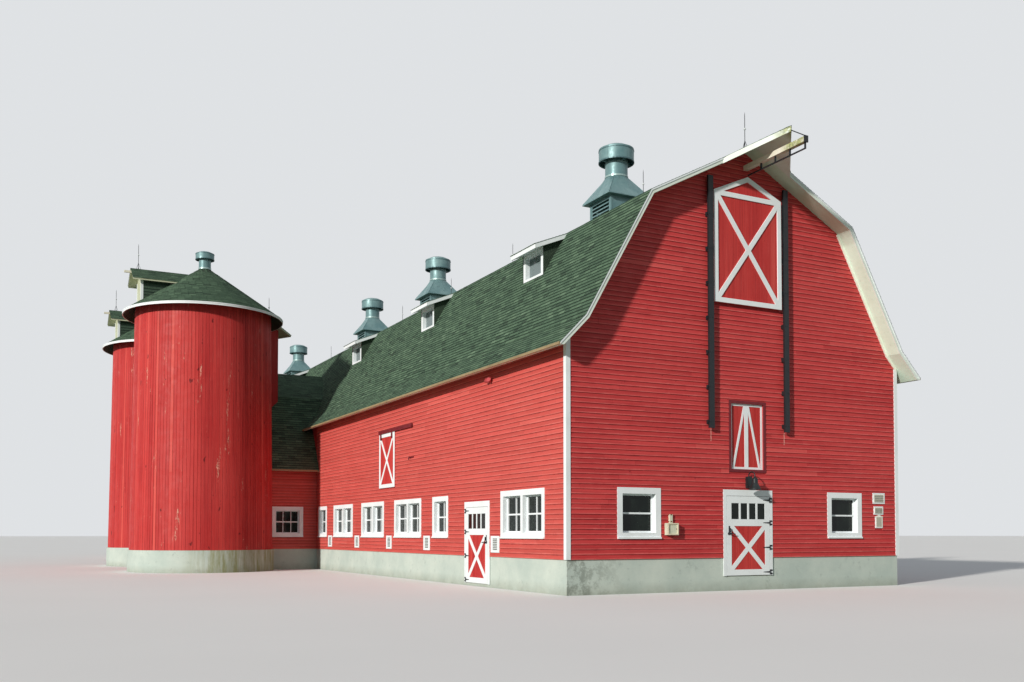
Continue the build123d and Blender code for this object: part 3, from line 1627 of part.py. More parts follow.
# Louvre plates midway between the openings of the west wall, and the bare plates at the front
openings = [(along_wall(share), single_window_width / 2) for share in west_singles]
openings += [(along_wall(share), double_window_width / 2) for share in west_doubles]
openings += [(side_door_centre, door_half + door_casing_width), (corner_window, double_window_width / 2)]
openings.sort()
louvre_plate_spots = [
    (near + near_half + far - far_half) / 2
    for (near, near_half), (far, far_half) in zip(openings, openings[1:])
    if far != side_door_centre
]
with BuildPart() as wall_plates:
    for middle in louvre_plate_spots:
        half = louvre_plate_width / 2
        top = louvre_plate_base + louvre_plate_height
        thick = (0, louvre_plate_thickness)
        bar(west_face, (middle - half, middle + half), (louvre_plate_base, top), thick)
        grille = louvre_plate_height - 2 * louvre_plate_rail
        pitch = (grille + louvre_plate_bar) / louvre_plate_slots
        slot_x = (middle - half + louvre_plate_stile, middle + half - louvre_plate_stile)
        for i in range(louvre_plate_slots):
            low = louvre_plate_base + louvre_plate_rail + pitch * i
            slot = (low, low + pitch - louvre_plate_bar)
            deep = (louvre_plate_thickness / 2, louvre_plate_thickness)
            bar(west_face, slot_x, slot, deep, Mode.SUBTRACT)
    for middle, base, width, height in front_plates:
        xs = (middle - width / 2, middle + width / 2)
        bar(front_face, xs, (base, base + height), (0, louvre_plate_thickness))
keep(wall_plates, "wall_plates")
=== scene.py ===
"""Looks of the red barn: siding, shingles, boards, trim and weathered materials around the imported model."""

import math
import random

import bpy
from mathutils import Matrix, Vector


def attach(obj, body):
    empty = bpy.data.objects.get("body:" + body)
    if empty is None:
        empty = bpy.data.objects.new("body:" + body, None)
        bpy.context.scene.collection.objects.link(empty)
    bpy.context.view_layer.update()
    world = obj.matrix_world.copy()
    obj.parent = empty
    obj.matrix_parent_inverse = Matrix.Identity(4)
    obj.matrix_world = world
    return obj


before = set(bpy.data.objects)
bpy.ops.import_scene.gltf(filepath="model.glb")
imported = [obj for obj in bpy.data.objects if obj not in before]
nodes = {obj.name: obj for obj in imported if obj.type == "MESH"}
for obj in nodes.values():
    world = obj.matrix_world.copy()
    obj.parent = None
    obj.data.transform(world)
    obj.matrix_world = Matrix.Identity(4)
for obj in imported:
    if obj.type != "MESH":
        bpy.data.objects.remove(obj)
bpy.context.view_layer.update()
rng = random.Random(7)
scene = bpy.context.scene
BOTH = (-1, 1)

# Main sizes in metres, as in the CAD
HALF_L = 13.975
HALF_W = 3.0475
FOUND = 0.47
RAKE = 14.24
ROOF_T = 0.06
MAIN = ((0, 6.47), (1.86, 5.5), (2.905, 3.68), (3.29, 3.29))
WING = ((0, 4.905), (1.55, 4.1), (2.625, 2.295))
WING_HALF = 2.41
WING_END = 4.6
SILO_X = -5.625
SILO_Y = 2.3
SILO_FOOT = 1.52
SILO_TOP = 1.455
SILO_EAVE = 5.665
CONE_R = 1.705
CONE_SLOPE = 0.69
COURSE = 0.0675
SILL = 0.745
HEAD = 1.445
CORNER_BOARD = 0.054
RAIL_X = 0.7
SIDE_DOOR = 11.225
FRONT_PLATES = ((2.63, 1.285, 0.26, 0.17), (2.622, 1.115, 0.205, 0.13), (2.63, 0.905, 0.16, 0.185))
GRILLE_W = 0.29
GRILLE_H = 0.25
GRILLE_Z = 0.533

# Where a cover piece starts, just inside what it lies on
BED = -0.0005


def offset_at(line, z):
    """Distance from the ridge at which a roof line has a height."""
    for (x0, z0), (x1, z1) in zip(line, line[1:]):
        if z >= z1:
            return x0 + (x1 - x0) * (z0 - z) / (z0 - z1)
    return line[-1][0]


def height_at(line, x):
    """Height of a roof line at a distance from the ridge."""
    for (x0, z0), (x1, z1) in zip(line, line[1:]):
        if x <= x1:
            return z0 + (z1 - z0) * (x - x0) / (x1 - x0)
    return line[-1][1]


def lowered(line, depth):
    """Roof line moved down square to each slope, point by point."""
    slopes = [(b[1] - a[1]) / (b[0] - a[0]) for a, b in zip(line, line[1:])]
    points = [(line[0][0], line[0][1] - depth * math.hypot(1, slopes[0]))]
    for corner, above, below in zip(line[1:], slopes, slopes[1:]):
        shift = depth * (math.hypot(1, above) - math.hypot(1, below)) / (above - below)
        points.append((corner[0] + shift, corner[1] + above * shift - depth * math.hypot(1, above)))
    points.append((line[-1][0], line[-1][1] - depth * math.hypot(1, slopes[-1])))
    return points


MAIN_UNDER = lowered(MAIN, ROOF_T)
WING_UNDER = lowered(WING, ROOF_T)


def steady(value):
    """An edge that stays in one place at every height."""
    return lambda _: value


def random_tone(spread, middle=0.5):
    """A random tone that is mostly close to a middle one."""
    return min(1, max(0, rng.gauss(middle, spread)))


def hoop(centre, u, v, radius, sides):
    """Points on a circle round a centre."""
    turns = [2 * math.pi * k / sides for k in range(sides)]
    return [centre + (u * math.cos(turn) + v * math.sin(turn)) * radius for turn in turns]


class Pile:
    """Vertices and faces of one piece, with a tone on each face and an edge value on each vertex, which
    places painted shade and highlights across boards and tabs.
    """

    def __init__(self):
        self.verts = []
        self.faces = []
        self.tones = []
        self.edges = []

    def add(self, verts, faces, tone=None, edges=None):
        start = len(self.verts)
        tone = rng.random() if tone is None else tone
        self.verts.extend(verts)
        self.edges.extend(edges or [0.0] * len(verts))
        self.faces.extend([tuple(start + i for i in f) for f in faces])
        self.tones.extend([tone] * len(faces))

    def slab(self, corners, outward, low, high, tone=None, edges=None):
        """Flat plate on a polygon, between two distances out along a direction."""
        n = len(corners)
        out = Vector(outward)
        bottom = [Vector(c) + out * low for c in corners]
        highs = high if isinstance(high, list) else [high] * n
        top = [Vector(c) + out * h for c, h in zip(corners, highs)]
        faces = [tuple(range(n - 1, -1, -1)), tuple(range(n, 2 * n))]
        faces += [(i, (i + 1) % n, n + (i + 1) % n, n + i) for i in range(n)]
        self.add(bottom + top, faces, tone, edges and edges * 2)

    def box(self, low, high, tone=None):
        (x0, y0, z0), (x1, y1, z1) = low, high
        corners = [(x0, y0, z0), (x1, y0, z0), (x1, y1, z0), (x0, y1, z0)]
        self.slab(corners, (0, 0, 1), 0, z1 - z0, tone)

    def panel(self, wall, left, right, low, high, near, far):
        """Flat plate on an upright rectangle of a wall."""
        corners = [wall.at(left, low), wall.at(right, low), wall.at(right, high), wall.at(left, high)]
        self.slab(corners, wall.out, near, far)

    def skin(self, verts, sides, closed=False):
        """Skin over rings of vertices, capped at both ends or closed into a loop."""
        count = len(verts) // sides
        faces = []
        for i in range(count if closed else count - 1):
            a, b = i * sides, (i + 1) % count * sides
            faces += [(a + k, a + (k + 1) % sides, b + (k + 1) % sides, b + k) for k in range(sides)]
        if not closed:
            faces += [tuple(range(sides - 1, -1, -1)), tuple(range((count - 1) * sides, count * sides))]
        self.add(verts, faces, 0.5)

    def lathe(self, base, axis, profile, sides, closed=False):
        """Turned shape: the profile is (radius, distance along the axis)."""
        axis = Vector(axis).normalized()
        u = axis.orthogonal().normalized()
        v = axis.cross(u)
        verts = []
        for radius, along in profile:
            verts += hoop(Vector(base) + axis * along, u, v, radius, sides)
        self.skin(verts, sides, closed)

    def ring(self, x, y, radius, low, high, proud, sides=32):
        """Band round an upright pipe."""
        inner = radius - 0.003
        outer = radius + proud
        profile = ((inner, low), (outer, low), (outer, high), (inner, high))
        self.lathe((x, y, 0), (0, 0, 1), profile, sides, True)

    def tube(self, points, radius, sides=8):
        """Round bar along a path."""
        points = [Vector(p) for p in points]
        side = (points[1] - points[0]).orthogonal()
        verts = []
        for i, point in enumerate(points):
            ahead = (points[min(i + 1, len(points) - 1)] - points[max(i - 1, 0)]).normalized()
            side = (side - ahead * side.dot(ahead)).normalized()
            verts += hoop(point, side, ahead.cross(side), radius, sides)
        self.skin(verts, sides)

    def make(self, name, material, slot, body="barn", smooth=False):
        mesh = bpy.data.meshes.new(name)
        mesh.from_pydata([tuple(v) for v in self.verts], [], self.faces)
        mesh.validate()
        tone = mesh.attributes.new("tone", "FLOAT", "FACE")
        tone.data.foreach_set("value", self.tones[: len(mesh.polygons)])
        edge = mesh.attributes.new("edge", "FLOAT", "POINT")
        edge.data.foreach_set("value", self.edges)
        obj = bpy.data.objects.new(name, mesh)
        scene.collection.objects.link(obj)
        mesh.materials.append(material)
        if smooth:
            mesh.shade_smooth()
        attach(obj, body)


# Materials
def rgb(r, g, b):
    """Linear colour from 8-bit display values."""
    return tuple(((c / 255 + 0.055) / 1.055) ** 2.4 if c > 10 else c / 255 / 12.92 for c in (r, g, b))


class Paint:
    """A node material being put together; its plain colours are 8-bit display values."""

    def __init__(self, name):
        self.mat = bpy.data.materials.new(name)
        self.mat.use_nodes = True
        self.tree = self.mat.node_tree
        self.shader = self.tree.nodes["Principled BSDF"]
        self.colour = None

    def node(self, kind):
        return self.tree.nodes.new(kind)

    def feed(self, socket, value):
        """Give a socket the output of another, a plain number or a plain colour."""
        if isinstance(value, bpy.types.NodeSocket):
            self.tree.links.new(value, socket)
        elif isinstance(value, (int, float)):
            socket.default_value = value
        else:
            socket.default_value = (*rgb(*value), 1)

    def place(self):
        return self.node("ShaderNodeTexCoord").outputs["Object"]

    def noise(self, scale, detail, rough, stretch=(1, 1, 1), distort=0.0):
        """Noise over object coordinates that are scaled along each axis."""
        mapping = self.node("ShaderNodeMapping")
        mapping.inputs["Scale"].default_value = stretch
        self.feed(mapping.inputs["Vector"], self.place())
        made = self.node("ShaderNodeTexNoise")
        names = ("Scale", "Detail", "Roughness", "Distortion")
        for name, value in zip(names, (scale, detail, rough, distort)):
            made.inputs[name].default_value = value
        self.feed(made.inputs["Vector"], mapping.outputs["Vector"])
        return made.outputs["Fac"]

    def ramp(self, factor, stops):
        """Colours along a factor: stops are (place, colour) or (place, grey)."""
        made = self.node("ShaderNodeValToRGB")
        elements = made.color_ramp.elements
        while len(elements) < len(stops):
            elements.new(0.5)
        for element, (place, value) in zip(elements, stops):
            element.position = place
            shade = (value,) * 3 if isinstance(value, (int, float)) else rgb(*value)
            element.color = (*shade, 1)
        self.feed(made.inputs["Fac"], factor)
        return made.outputs["Color"]

    def patches(self, low, high, *noise):
        """Noise between two stops."""
        return self.ramp(self.noise(*noise), (low, high))

    def mix(self, factor, a, b):
        made = self.node("ShaderNodeMix")
        made.data_type = "RGBA"
        self.feed(made.inputs["Factor"], factor)
        self.feed(made.inputs[6], a)
        self.feed(made.inputs[7], b)
        return made.outputs[2]

    def cover(self, mask, tint):
        """Lay a colour over the coat so far, where a mask says."""
        self.colour = self.mix(mask, self.colour, tint)

    def math(self, operation, a, b=None, clamp=False):
        made = self.node("ShaderNodeMath")
        made.operation = operation
        made.use_clamp = clamp
        self.feed(made.inputs[0], a)
        if b is not None:
            self.feed(made.inputs[1], b)
        return made.outputs[0]

    def times(self, a, b):
        return self.math("MULTIPLY", a, b)

    def rise(self, a, b, rate):
        """0 while a is under b, then growing at a rate with what it is over b, up to 1."""
        return self.math("MULTIPLY", self.math("SUBTRACT", a, b), rate, True)

    def mark(self, name):
        """A value that the mesh carries: a face's tone or a vertex's edge."""
        made = self.node("ShaderNodeAttribute")
        made.attribute_name = name
        return made.outputs["Fac"]

    def axis(self, name):
        """One object coordinate."""
        split = self.node("ShaderNodeSeparateXYZ")
        self.feed(split.inputs[0], self.place())
        return split.outputs[name]

    def before(self, name, limit):
        """1 where a coordinate is under a limit, and 0 elsewhere."""
        return self.math("LESS_THAN", self.axis(name), limit)

    def after(self, name, limit):
        """1 where a coordinate is over a limit, and 0 elsewhere."""
        return self.math("GREATER_THAN", self.axis(name), limit)

    def within(self, name, middle, half):
        """1 where a coordinate lies close to a middle, and 0 elsewhere."""
        away = self.math("SUBTRACT", self.axis(name), middle)
        return self.math("LESS_THAN", self.math("ABSOLUTE", away), half)

    def bump(self, height, distance, strength):
        made = self.node("ShaderNodeBump")
        made.inputs["Distance"].default_value = distance
        made.inputs["Strength"].default_value = strength
        self.feed(made.inputs["Height"], height)
        self.feed(self.shader.inputs["Normal"], made.outputs["Normal"])

    def finish(self, roughness, metallic=0.0, specular=0.25):
        self.feed(self.shader.inputs["Base Color"], self.colour)
        self.feed(self.shader.inputs["Roughness"], roughness)
        self.shader.inputs["Metallic"].default_value = metallic
        self.shader.inputs["Specular IOR Level"].default_value = specular
        return self.mat


# Places where a paint changes: the western wall painted lighter (partly sun bleaching, partly painted
# sunlight), scars by the rails, moss, the dormer panes' painted sky reflection, lamps, algae
SKIN = 0.02
SCAR_Z = 2.225
SCAR_HALF = 0.09
SCAR_WIDE = 0.01
MOSS_START = -14.74
FELT_TURN = 0.1
PAINTED_SKY_ABOVE = 3.5
LAMP_LINE = 2.5
SPLASH = 0.16
ALGAE_SIDE = -6.3
FLAKE_CORNER = -2.1


def lap_light_shade_and_scars(p):
    """Painted highlights along the board butts, painted shade under the laps, a western side painted lighter
    and pinker (partly sun bleaching, partly painted sunlight) and scars by the rails.
    """
    wander = p.times(p.math("SUBTRACT", p.noise(9, 4, 0.6), 0.5), 0.3)
    edge = p.math("ADD", p.mark("edge"), wander)
    # Painted highlight: a lighter pink line along each board's butt, where the light catches it
    painted_butt_highlight = p.patches((0.38, 0.35), (0.6, 1.0), 1.9, 6, 0.75, (1, 1, 9))
    painted_butt_highlight = p.times(painted_butt_highlight, p.ramp(edge, [(0.02, 0.62), (0.3, 0.0)]))
    p.cover(painted_butt_highlight, (238, 132, 126))
    # Western side painted lighter and pinker: partly sun bleaching, partly painted sunlight
    p.cover(p.times(p.before("X", SKIN - HALF_W), 0.13), (236, 158, 130))
    # Painted shade: a dark line at the top of each board, under the lap of the board above
    depth = p.patches((0.3, 0.22), (0.65, 0.66), 2.6, 5, 0.7, (1, 1, 9))
    p.cover(p.times(p.ramp(edge, [(0.76, 0.0), (0.9, 1.0)]), depth), (96, 10, 22))
    scar = p.times(p.within("Z", SCAR_Z, SCAR_HALF), p.before("Y", -HALF_L))
    for middle in (0.035 - RAIL_X, RAIL_X):
        line = p.times(scar, p.within("X", middle, SCAR_WIDE))
        p.cover(p.times(line, p.noise(14, 4, 0.7)), (236, 172, 160))


def seam_shade_and_wear(p):
    """Painted shade darkening the grooves between boards here and there, knots, and peeled paint over bare
    wood.
    """
    # Painted shade: darker towards each board's long edges, in patches
    gap = p.ramp(p.mark("edge"), [(0.3, 0.0), (0.95, 0.72)])
    opened = p.patches((0.49, 0.0), (0.66, 0.85), 2.6, 6, 0.75, (3, 3, 0.4))
    p.cover(p.times(gap, opened), (104, 10, 18))
    p.cover(p.patches((0.695, 0.0), (0.725, 0.85), 9, 3, 0.5, (1, 1, 0.45)), (92, 14, 18))
    peel = p.patches((0.605, 0.0), (0.635, 0.9), 3.4, 10, 0.82, (1.6, 1.6, 0.3))
    p.cover(peel, p.patches((0.38, (132, 46, 42)), (0.54, (232, 178, 156)), 24, 4, 0.7))


def bare_inside(p):
    """Bare wood on the inner side of the walls."""
    across = p.within("X", 0, HALF_W - SKIN)
    along = p.within("Y", 0, HALF_L - SKIN)
    bare = p.patches((0.3, (96, 76, 56)), (0.6, (142, 118, 90)), 3.0, 8, 0.72, (0.5, 0.5, 9))
    p.cover(p.times(across, along), bare)


def red_paint(name, reds, grain, worn=0.4, wear_and_shade=None):
    """Weathered barn paint on boards whose grain runs along the small values of the stretch."""
    p = Paint(name)
    p.colour = p.ramp(p.mark("tone"), reds)
    faded = p.patches((0.35, 0.0), (0.7, 0.28), 0.8, 5, 0.6)
    p.cover(faded, (214, 88, 84))
    streaks = p.patches((0.4, 0.3), (0.54, 0.0), 2.2, 6, 0.7, grain)
    p.cover(streaks, (136, 24, 30))
    chalk = p.patches((0.6, 0.0), (0.7, worn), 5.5, 8, 0.72, grain)
    p.cover(chalk, (226, 128, 118))
    spots = p.patches((0.735, 0.0), (0.75, 0.75), 30, 3, 0.5)
    p.cover(spots, (86, 20, 24))
    if wear_and_shade:
        wear_and_shade(p)
    p.bump(p.noise(3.2, 8, 0.75, grain), 0.0016, 0.8)
    return p.finish(p.patches((0.3, 0.5), (0.7, 0.74), 6, 4, 0.6))


def white_paint(name, base, dirt, amount=0.28, moss=0.0, felted=False):
    """Painted trim with rain marks and a little dirt; a roof board is dark felt on its upper side."""
    p = Paint(name)
    p.colour = p.mix(p.patches((0.45, 0.0), (0.75, amount), 2.6, 6, 0.65), base, dirt)
    grime = p.patches((0.6, 0.0), (0.72, amount * 0.7), 26, 5, 0.7)
    p.cover(grime, (150, 146, 130))
    if moss:
        growth = p.patches((0.34, 0.0), (0.5, 1.0), 11, 7, 0.75)
        reach = p.rise(MOSS_START, p.axis("Y"), 5.5)
        tint = p.patches((0.4, (92, 104, 44)), (0.62, (176, 182, 92)), 40, 4, 0.7)
        p.cover(p.times(growth, p.times(reach, moss)), tint)
    if felted:
        turn = p.node("ShaderNodeSeparateXYZ")
        p.feed(turn.inputs[0], p.node("ShaderNodeNewGeometry").outputs["True Normal"])
        felt_cover = p.patches((0.3, (24, 36, 30)), (0.7, (34, 48, 40)), 9, 4, 0.6)
        p.cover(p.math("GREATER_THAN", turn.outputs["Z"], FELT_TURN), felt_cover)
    p.bump(p.noise(60, 5, 0.7, (1, 1, 0.6)), 0.0006, 0.7)
    return p.finish(0.55, specular=0.35)


def shingle_paint(name, shades, gloss=0.9):
    """Mineral shingles: one shade for each tab, coloured granules, painted shade at the top of each tab under
    the course above, and faint rain streaks.
    """
    p = Paint(name)
    p.colour = p.ramp(p.mark("tone"), shades)
    p.cover(p.patches((0.3, 0.0), (0.75, 0.2), 0.7, 5, 0.6), (92, 116, 94))
    granule = p.noise(300, 2, 0.5)
    p.cover(p.ramp(granule, [(0.52, 0.0), (0.62, 0.5)]), (126, 146, 122))
    p.cover(p.ramp(granule, [(0.36, 0.6), (0.44, 0.0)]), (30, 46, 38))
    # Painted shade: darker towards each tab's top, under the butt of the course above
    p.cover(p.ramp(p.mark("edge"), [(0.6, 0.0), (0.88, 0.85)]), (16, 28, 26))
    p.cover(p.patches((0.6, 0.0), (0.76, 0.3), 3.0, 6, 0.7, (0.35, 1, 0.35)), (48, 60, 50))
    p.bump(granule, 0.0012, 0.8)
    return p.finish(gloss, specular=0.15)


def concrete_paint(name, algae):
    """Pale painted concrete with blotches, flaking paint and dirt near the ground."""
    p = Paint(name)
    p.colour = p.mix(p.patches((0.35, 0.0), (0.7, 1.0), 1.7, 7, 0.68), (186, 199, 192), (208, 217, 208))
    p.cover(p.patches((0.58, 0.0), (0.66, 0.5), 7, 8, 0.75), (160, 171, 165))
    mud = p.times(p.rise(SPLASH, p.axis("Z"), 5.0), p.noise(5, 6, 0.7))
    p.cover(mud, (132, 132, 114))
    if algae:
        run = p.patches((0.36, 0.0), (0.6, 0.8), 9, 6, 0.7, (1, 1, 0.12))
        p.cover(p.times(run, p.rise(p.axis("X"), ALGAE_SIDE, 1.6)), (136, 138, 84))
    else:
        corner = p.times(p.rise(FLAKE_CORNER, p.axis("X"), 1.4), p.before("Y", SKIN - HALF_L))
        peel = p.patches((0.47, 0.0), (0.56, 0.6), 5, 9, 0.8)
        p.cover(p.times(peel, corner), (112, 118, 108))
    p.bump(p.noise(20, 6, 0.7), 0.003, 0.7)
    return p.finish(0.82)


def metal_paint(name, base, light, metallic, roughness, upper=None):
    """Sheet metal with a dull bloom and runs; what stands above the lamp line may have its own colour."""
    p = Paint(name)
    p.colour = p.mix(p.patches((0.3, 0.0), (0.7, 1.0), 3.2, 7, 0.68), base, light)
    if upper:
        p.colour = p.mix(p.after("Z", LAMP_LINE), p.colour, upper)
    run = p.patches((0.55, 0.0), (0.7, 0.45), 14, 5, 0.7, (1, 1, 0.12))
    p.cover(run, [int(c * 0.66) for c in base])
    p.bump(p.noise(38, 5, 0.7), 0.0006, 0.6)
    rough = p.patches((0.3, roughness - 0.1), (0.7, roughness + 0.12), 11, 4, 0.6)
    return p.finish(rough, metallic, 0.4)


def glass_paint():
    """Panes painted near black for the shaded inside behind them, with a slight waviness and dust; the
    dormers' panes have a painted sky reflection.
    """
    p = Paint("window_panes")
    # Painted shade: opaque near-black panes stand for the dark inside, with lighter dust patches
    p.colour = p.mix(p.patches((0.45, 0.0), (0.8, 0.22), 4, 6, 0.7), (9, 19, 15), (62, 76, 66))
    # Painted reflection: panes high up are lightened with the sky's colour
    p.cover(p.after("Z", PAINTED_SKY_ABOVE), (112, 126, 128))
    p.bump(p.noise(7, 2, 0.4), 0.002, 0.25)
    p.shader.inputs["IOR"].default_value = 1.45
    return p.finish(0.08, specular=0.3)


def timber_paint(name, light, dark, grain):
    """Plain weathered timber."""
    p = Paint(name)
    lines = p.noise(3.0, 8, 0.72, grain, 0.6)
    pale = [min(255, int(c * 1.08)) for c in light]
    p.colour = p.ramp(lines, [(0.3, dark), (0.55, light), (0.75, pale)])
    p.bump(lines, 0.002, 0.8)
    return p.finish(0.75)


BARN_REDS = [(0, (182, 52, 54)), (0.5, (197, 60, 62)), (0.85, (206, 68, 69)), (1, (216, 84, 82))]
SILO_REDS = [(0, (176, 42, 42)), (0.5, (194, 54, 52)), (0.85, (204, 64, 60)), (1, (214, 82, 74))]
DARK_GREENS = [(0, (36, 54, 44)), (0.25, (62, 86, 69))]
GREENS = [*DARK_GREENS, (0.6, (80, 106, 85)), (0.85, (93, 120, 96)), (1, (106, 132, 108))]
LEVEL_GRAIN = (0.5, 0.5, 22)
UPRIGHT_GRAIN = (18, 18, 0.35)
TRIM_WHITE = ((241, 247, 250), (196, 202, 200))
HOOD_WHITE = ((232, 242, 234), (196, 190, 168))

siding = red_paint("siding_paint", BARN_REDS, LEVEL_GRAIN, wear_and_shade=lap_light_shade_and_scars)
silo_red = red_paint("silo_board_paint", SILO_REDS, UPRIGHT_GRAIN, 0.45, seam_shade_and_wear)
upright_red = red_paint("upright_board_paint", SILO_REDS, UPRIGHT_GRAIN, 0.45)
wall_core = red_paint("wall_core_paint", BARN_REDS, LEVEL_GRAIN, 0.3, bare_inside)
track_red = metal_paint("track_paint", (104, 26, 34), (122, 34, 40), 0.0, 0.55)
white = white_paint("trim_paint", *TRIM_WHITE)
soffit = white_paint("soffit_paint", (223, 243, 226), (196, 205, 182), 0.45, felted=True)
soffit_trim = white_paint("frieze_paint", (244, 241, 230), (206, 202, 180), 0.4)
silo_soffit = white_paint("silo_soffit_paint", (196, 200, 172), (150, 152, 118), 0.5, felted=True)
dormer_roof = white_paint("dormer_roof_paint", *TRIM_WHITE, felted=True)
lichen = white_paint("hood_paint", *HOOD_WHITE, 0.4, moss=0.95)
hood_roof = white_paint("hood_roof_paint", *HOOD_WHITE, 0.4, moss=0.95, felted=True)
shingles = shingle_paint("shingle_granules", GREENS)
# Dark felt under the cone shingles; on the dormer cheeks the same dark colour is painted shade
felt_and_cheek_shade = shingle_paint("shingle_base_and_cheek_shade", [(0, (22, 34, 28)), (1, (30, 44, 36))])
concrete = concrete_paint("foundation_paint", False)
silo_concrete = concrete_paint("silo_base_paint", True)
vent_metal = metal_paint("vent_sheet", (92, 128, 132), (130, 160, 161), 0.25, 0.45)
vent_light = metal_paint("vent_collar_sheet", (150, 176, 174), (170, 192, 190), 0.3, 0.4)
vent_dark = metal_paint("vent_band_sheet", (74, 104, 108), (92, 122, 126), 0.3, 0.45)
black_steel = metal_paint("black_steel", (20, 24, 28), (30, 34, 38), 0.0, 0.45)
lamp_steel = metal_paint("lamp_enamel", (24, 30, 32), (34, 40, 42), 0.0, 0.4, upper=(186, 74, 78))
grille_grey = metal_paint("grille_sheet", (122, 128, 122), (142, 148, 140), 0.1, 0.6)
porcelain = metal_paint("rod_ball_glaze", (196, 204, 206), (214, 220, 220), 0.0, 0.25)
meter_paint = metal_paint("meter_enamel", (206, 210, 186), (220, 222, 200), 0.0, 0.5)
meter_rim = metal_paint("meter_rim_enamel", (216, 204, 178), (230, 220, 196), 0.0, 0.5)
rust = metal_paint("rusty_sheet", (116, 72, 52), (140, 92, 66), 0.1, 0.7)
plate_face = metal_paint("plate_panel_paint", (176, 174, 160), (196, 192, 176), 0.0, 0.6)
plate_rim = metal_paint("plate_rim_paint", (250, 246, 232), (252, 250, 240), 0.0, 0.6)
cheek_green = shingle_paint("cheek_paint", [(0, (34, 52, 44)), (1, (46, 66, 56))], 0.7)
panes = glass_paint()
beam_wood = white_paint("beam_paint", (232, 228, 212), (186, 176, 148), 0.45, moss=0.8)
floor_wood = timber_paint("floor_boards", (150, 128, 100), (104, 84, 62), (9, 0.5, 9))
tan_edge = white_paint("eave_board_paint", (158, 138, 104), (104, 84, 58), 0.6)

CAD_PAINT = (
    (wall_core, "front_wall front_gable rear_wall west_wall west_wall_lintels east_wall wing_walls"),
    (silo_red, "silo_walls"),
    (upright_red, "silo_chutes front_door_leaf side_door_leaf upper_doors"),
    (track_red, "upper_door_casings"),
    (white, "corner_boards door_frames front_door_trim side_door_trim upper_door_trim wall_plates"),
    (white, "gable_windows side_windows dormer_windows silo_eave_rings"),
    (lichen, "rake_boards"),
    (tan_edge, "eave_boards"),
    (soffit, "west_roof east_roof wing_roof"),
    (hood_roof, "hay_hood"),
    (dormer_roof, "dormer_roofs"),
    # The dormer cheeks take the near-black felt: painted shade, as they stand in shade under the dormer roofs
    (felt_and_cheek_shade, "dormer_cheeks silo_roofs"),
    (silo_soffit, "silo_hood_roofs silo_dormers"),
    (concrete, "foundation_ends foundation_sides foundation_wing door_sills ground_floor"),
    (silo_concrete, "silo_bases"),
    (black_steel, "door_hinges front_door_straps side_door_straps hay_door_tracks hay_track"),
    (black_steel, "hood_stay lightning_rods"),
    (lamp_steel, "wall_lamps"),
    (panes, "front_door_glass side_door_glass window_glass"),
    (vent_metal, "roof_vents"),
    (meter_paint, "meter_box"),
    (floor_wood, "loft_floor"),
    (beam_wood, "hay_beam silo_beams"),
)
paint_of = {name: paint for paint, names in CAD_PAINT for name in names.split()}
for name, obj in nodes.items():
    obj.data.materials.clear()
    obj.data.materials.append(paint_of[name])


# Lap siding
class Plane:
    """A wall or a roof plane: u runs across it, v up the wall or down the slope, and out stands off it."""

    def __init__(self, origin, across, along, out):
        self.origin = Vector(origin)
        self.across = Vector(across).normalized()
        self.along = Vector(along).normalized()
        self.out = Vector(out).normalized()

    def at(self, u, v, out=0.0):
        return self.origin + self.across * u + self.along * v + self.out * out


def wall_at(origin, right, out):
    """A wall seen from outside, with places across it measured to the right from a middle."""
    return Plane(origin, right, (0, 0, 1), out)


front = wall_at((0, -HALF_L, 0), (1, 0, 0), (0, -1, 0))
rear = wall_at((0, HALF_L, 0), (-1, 0, 0), (0, 1, 0))
west = wall_at((-HALF_W, 0, 0), (0, -1, 0), (-1, 0, 0))
east = wall_at((HALF_W, 0, 0), (0, 1, 0), (1, 0, 0))
wing_near = wall_at((0, -WING_HALF, 0), (1, 0, 0), (0, -1, 0))
wing_far = wall_at((0, WING_HALF, 0), (-1, 0, 0), (0, 1, 0))
wing_back = wall_at((-WING_END, 0, 0), (0, -1, 0), (-1, 0, 0))

LAP = 0.0095
LAP_TOP = 0.0012
EDGE_GAP = 0.001
SLIVER = 0.003
NARROW = 0.004
JUST_INSIDE = 1e-4
BOARD_LENGTHS = (1.7, 2.1)
SPLIT_Z = 1.0


def spans(left, right, holes, z):
    """Free stretches across a wall at a height."""
    free = [(left(z), right(z))]
    for hole in holes:
        if not hole[2] < z < hole[3]:
            continue
        a, b = (hole[0](z), hole[1](z)) if callable(hole[0]) else hole[:2]
        beside = [piece for s, e in free for piece in ((s, min(e, a)), (max(s, b), e))]
        free = [(s, e) for s, e in beside if e - s > NARROW]
    return free


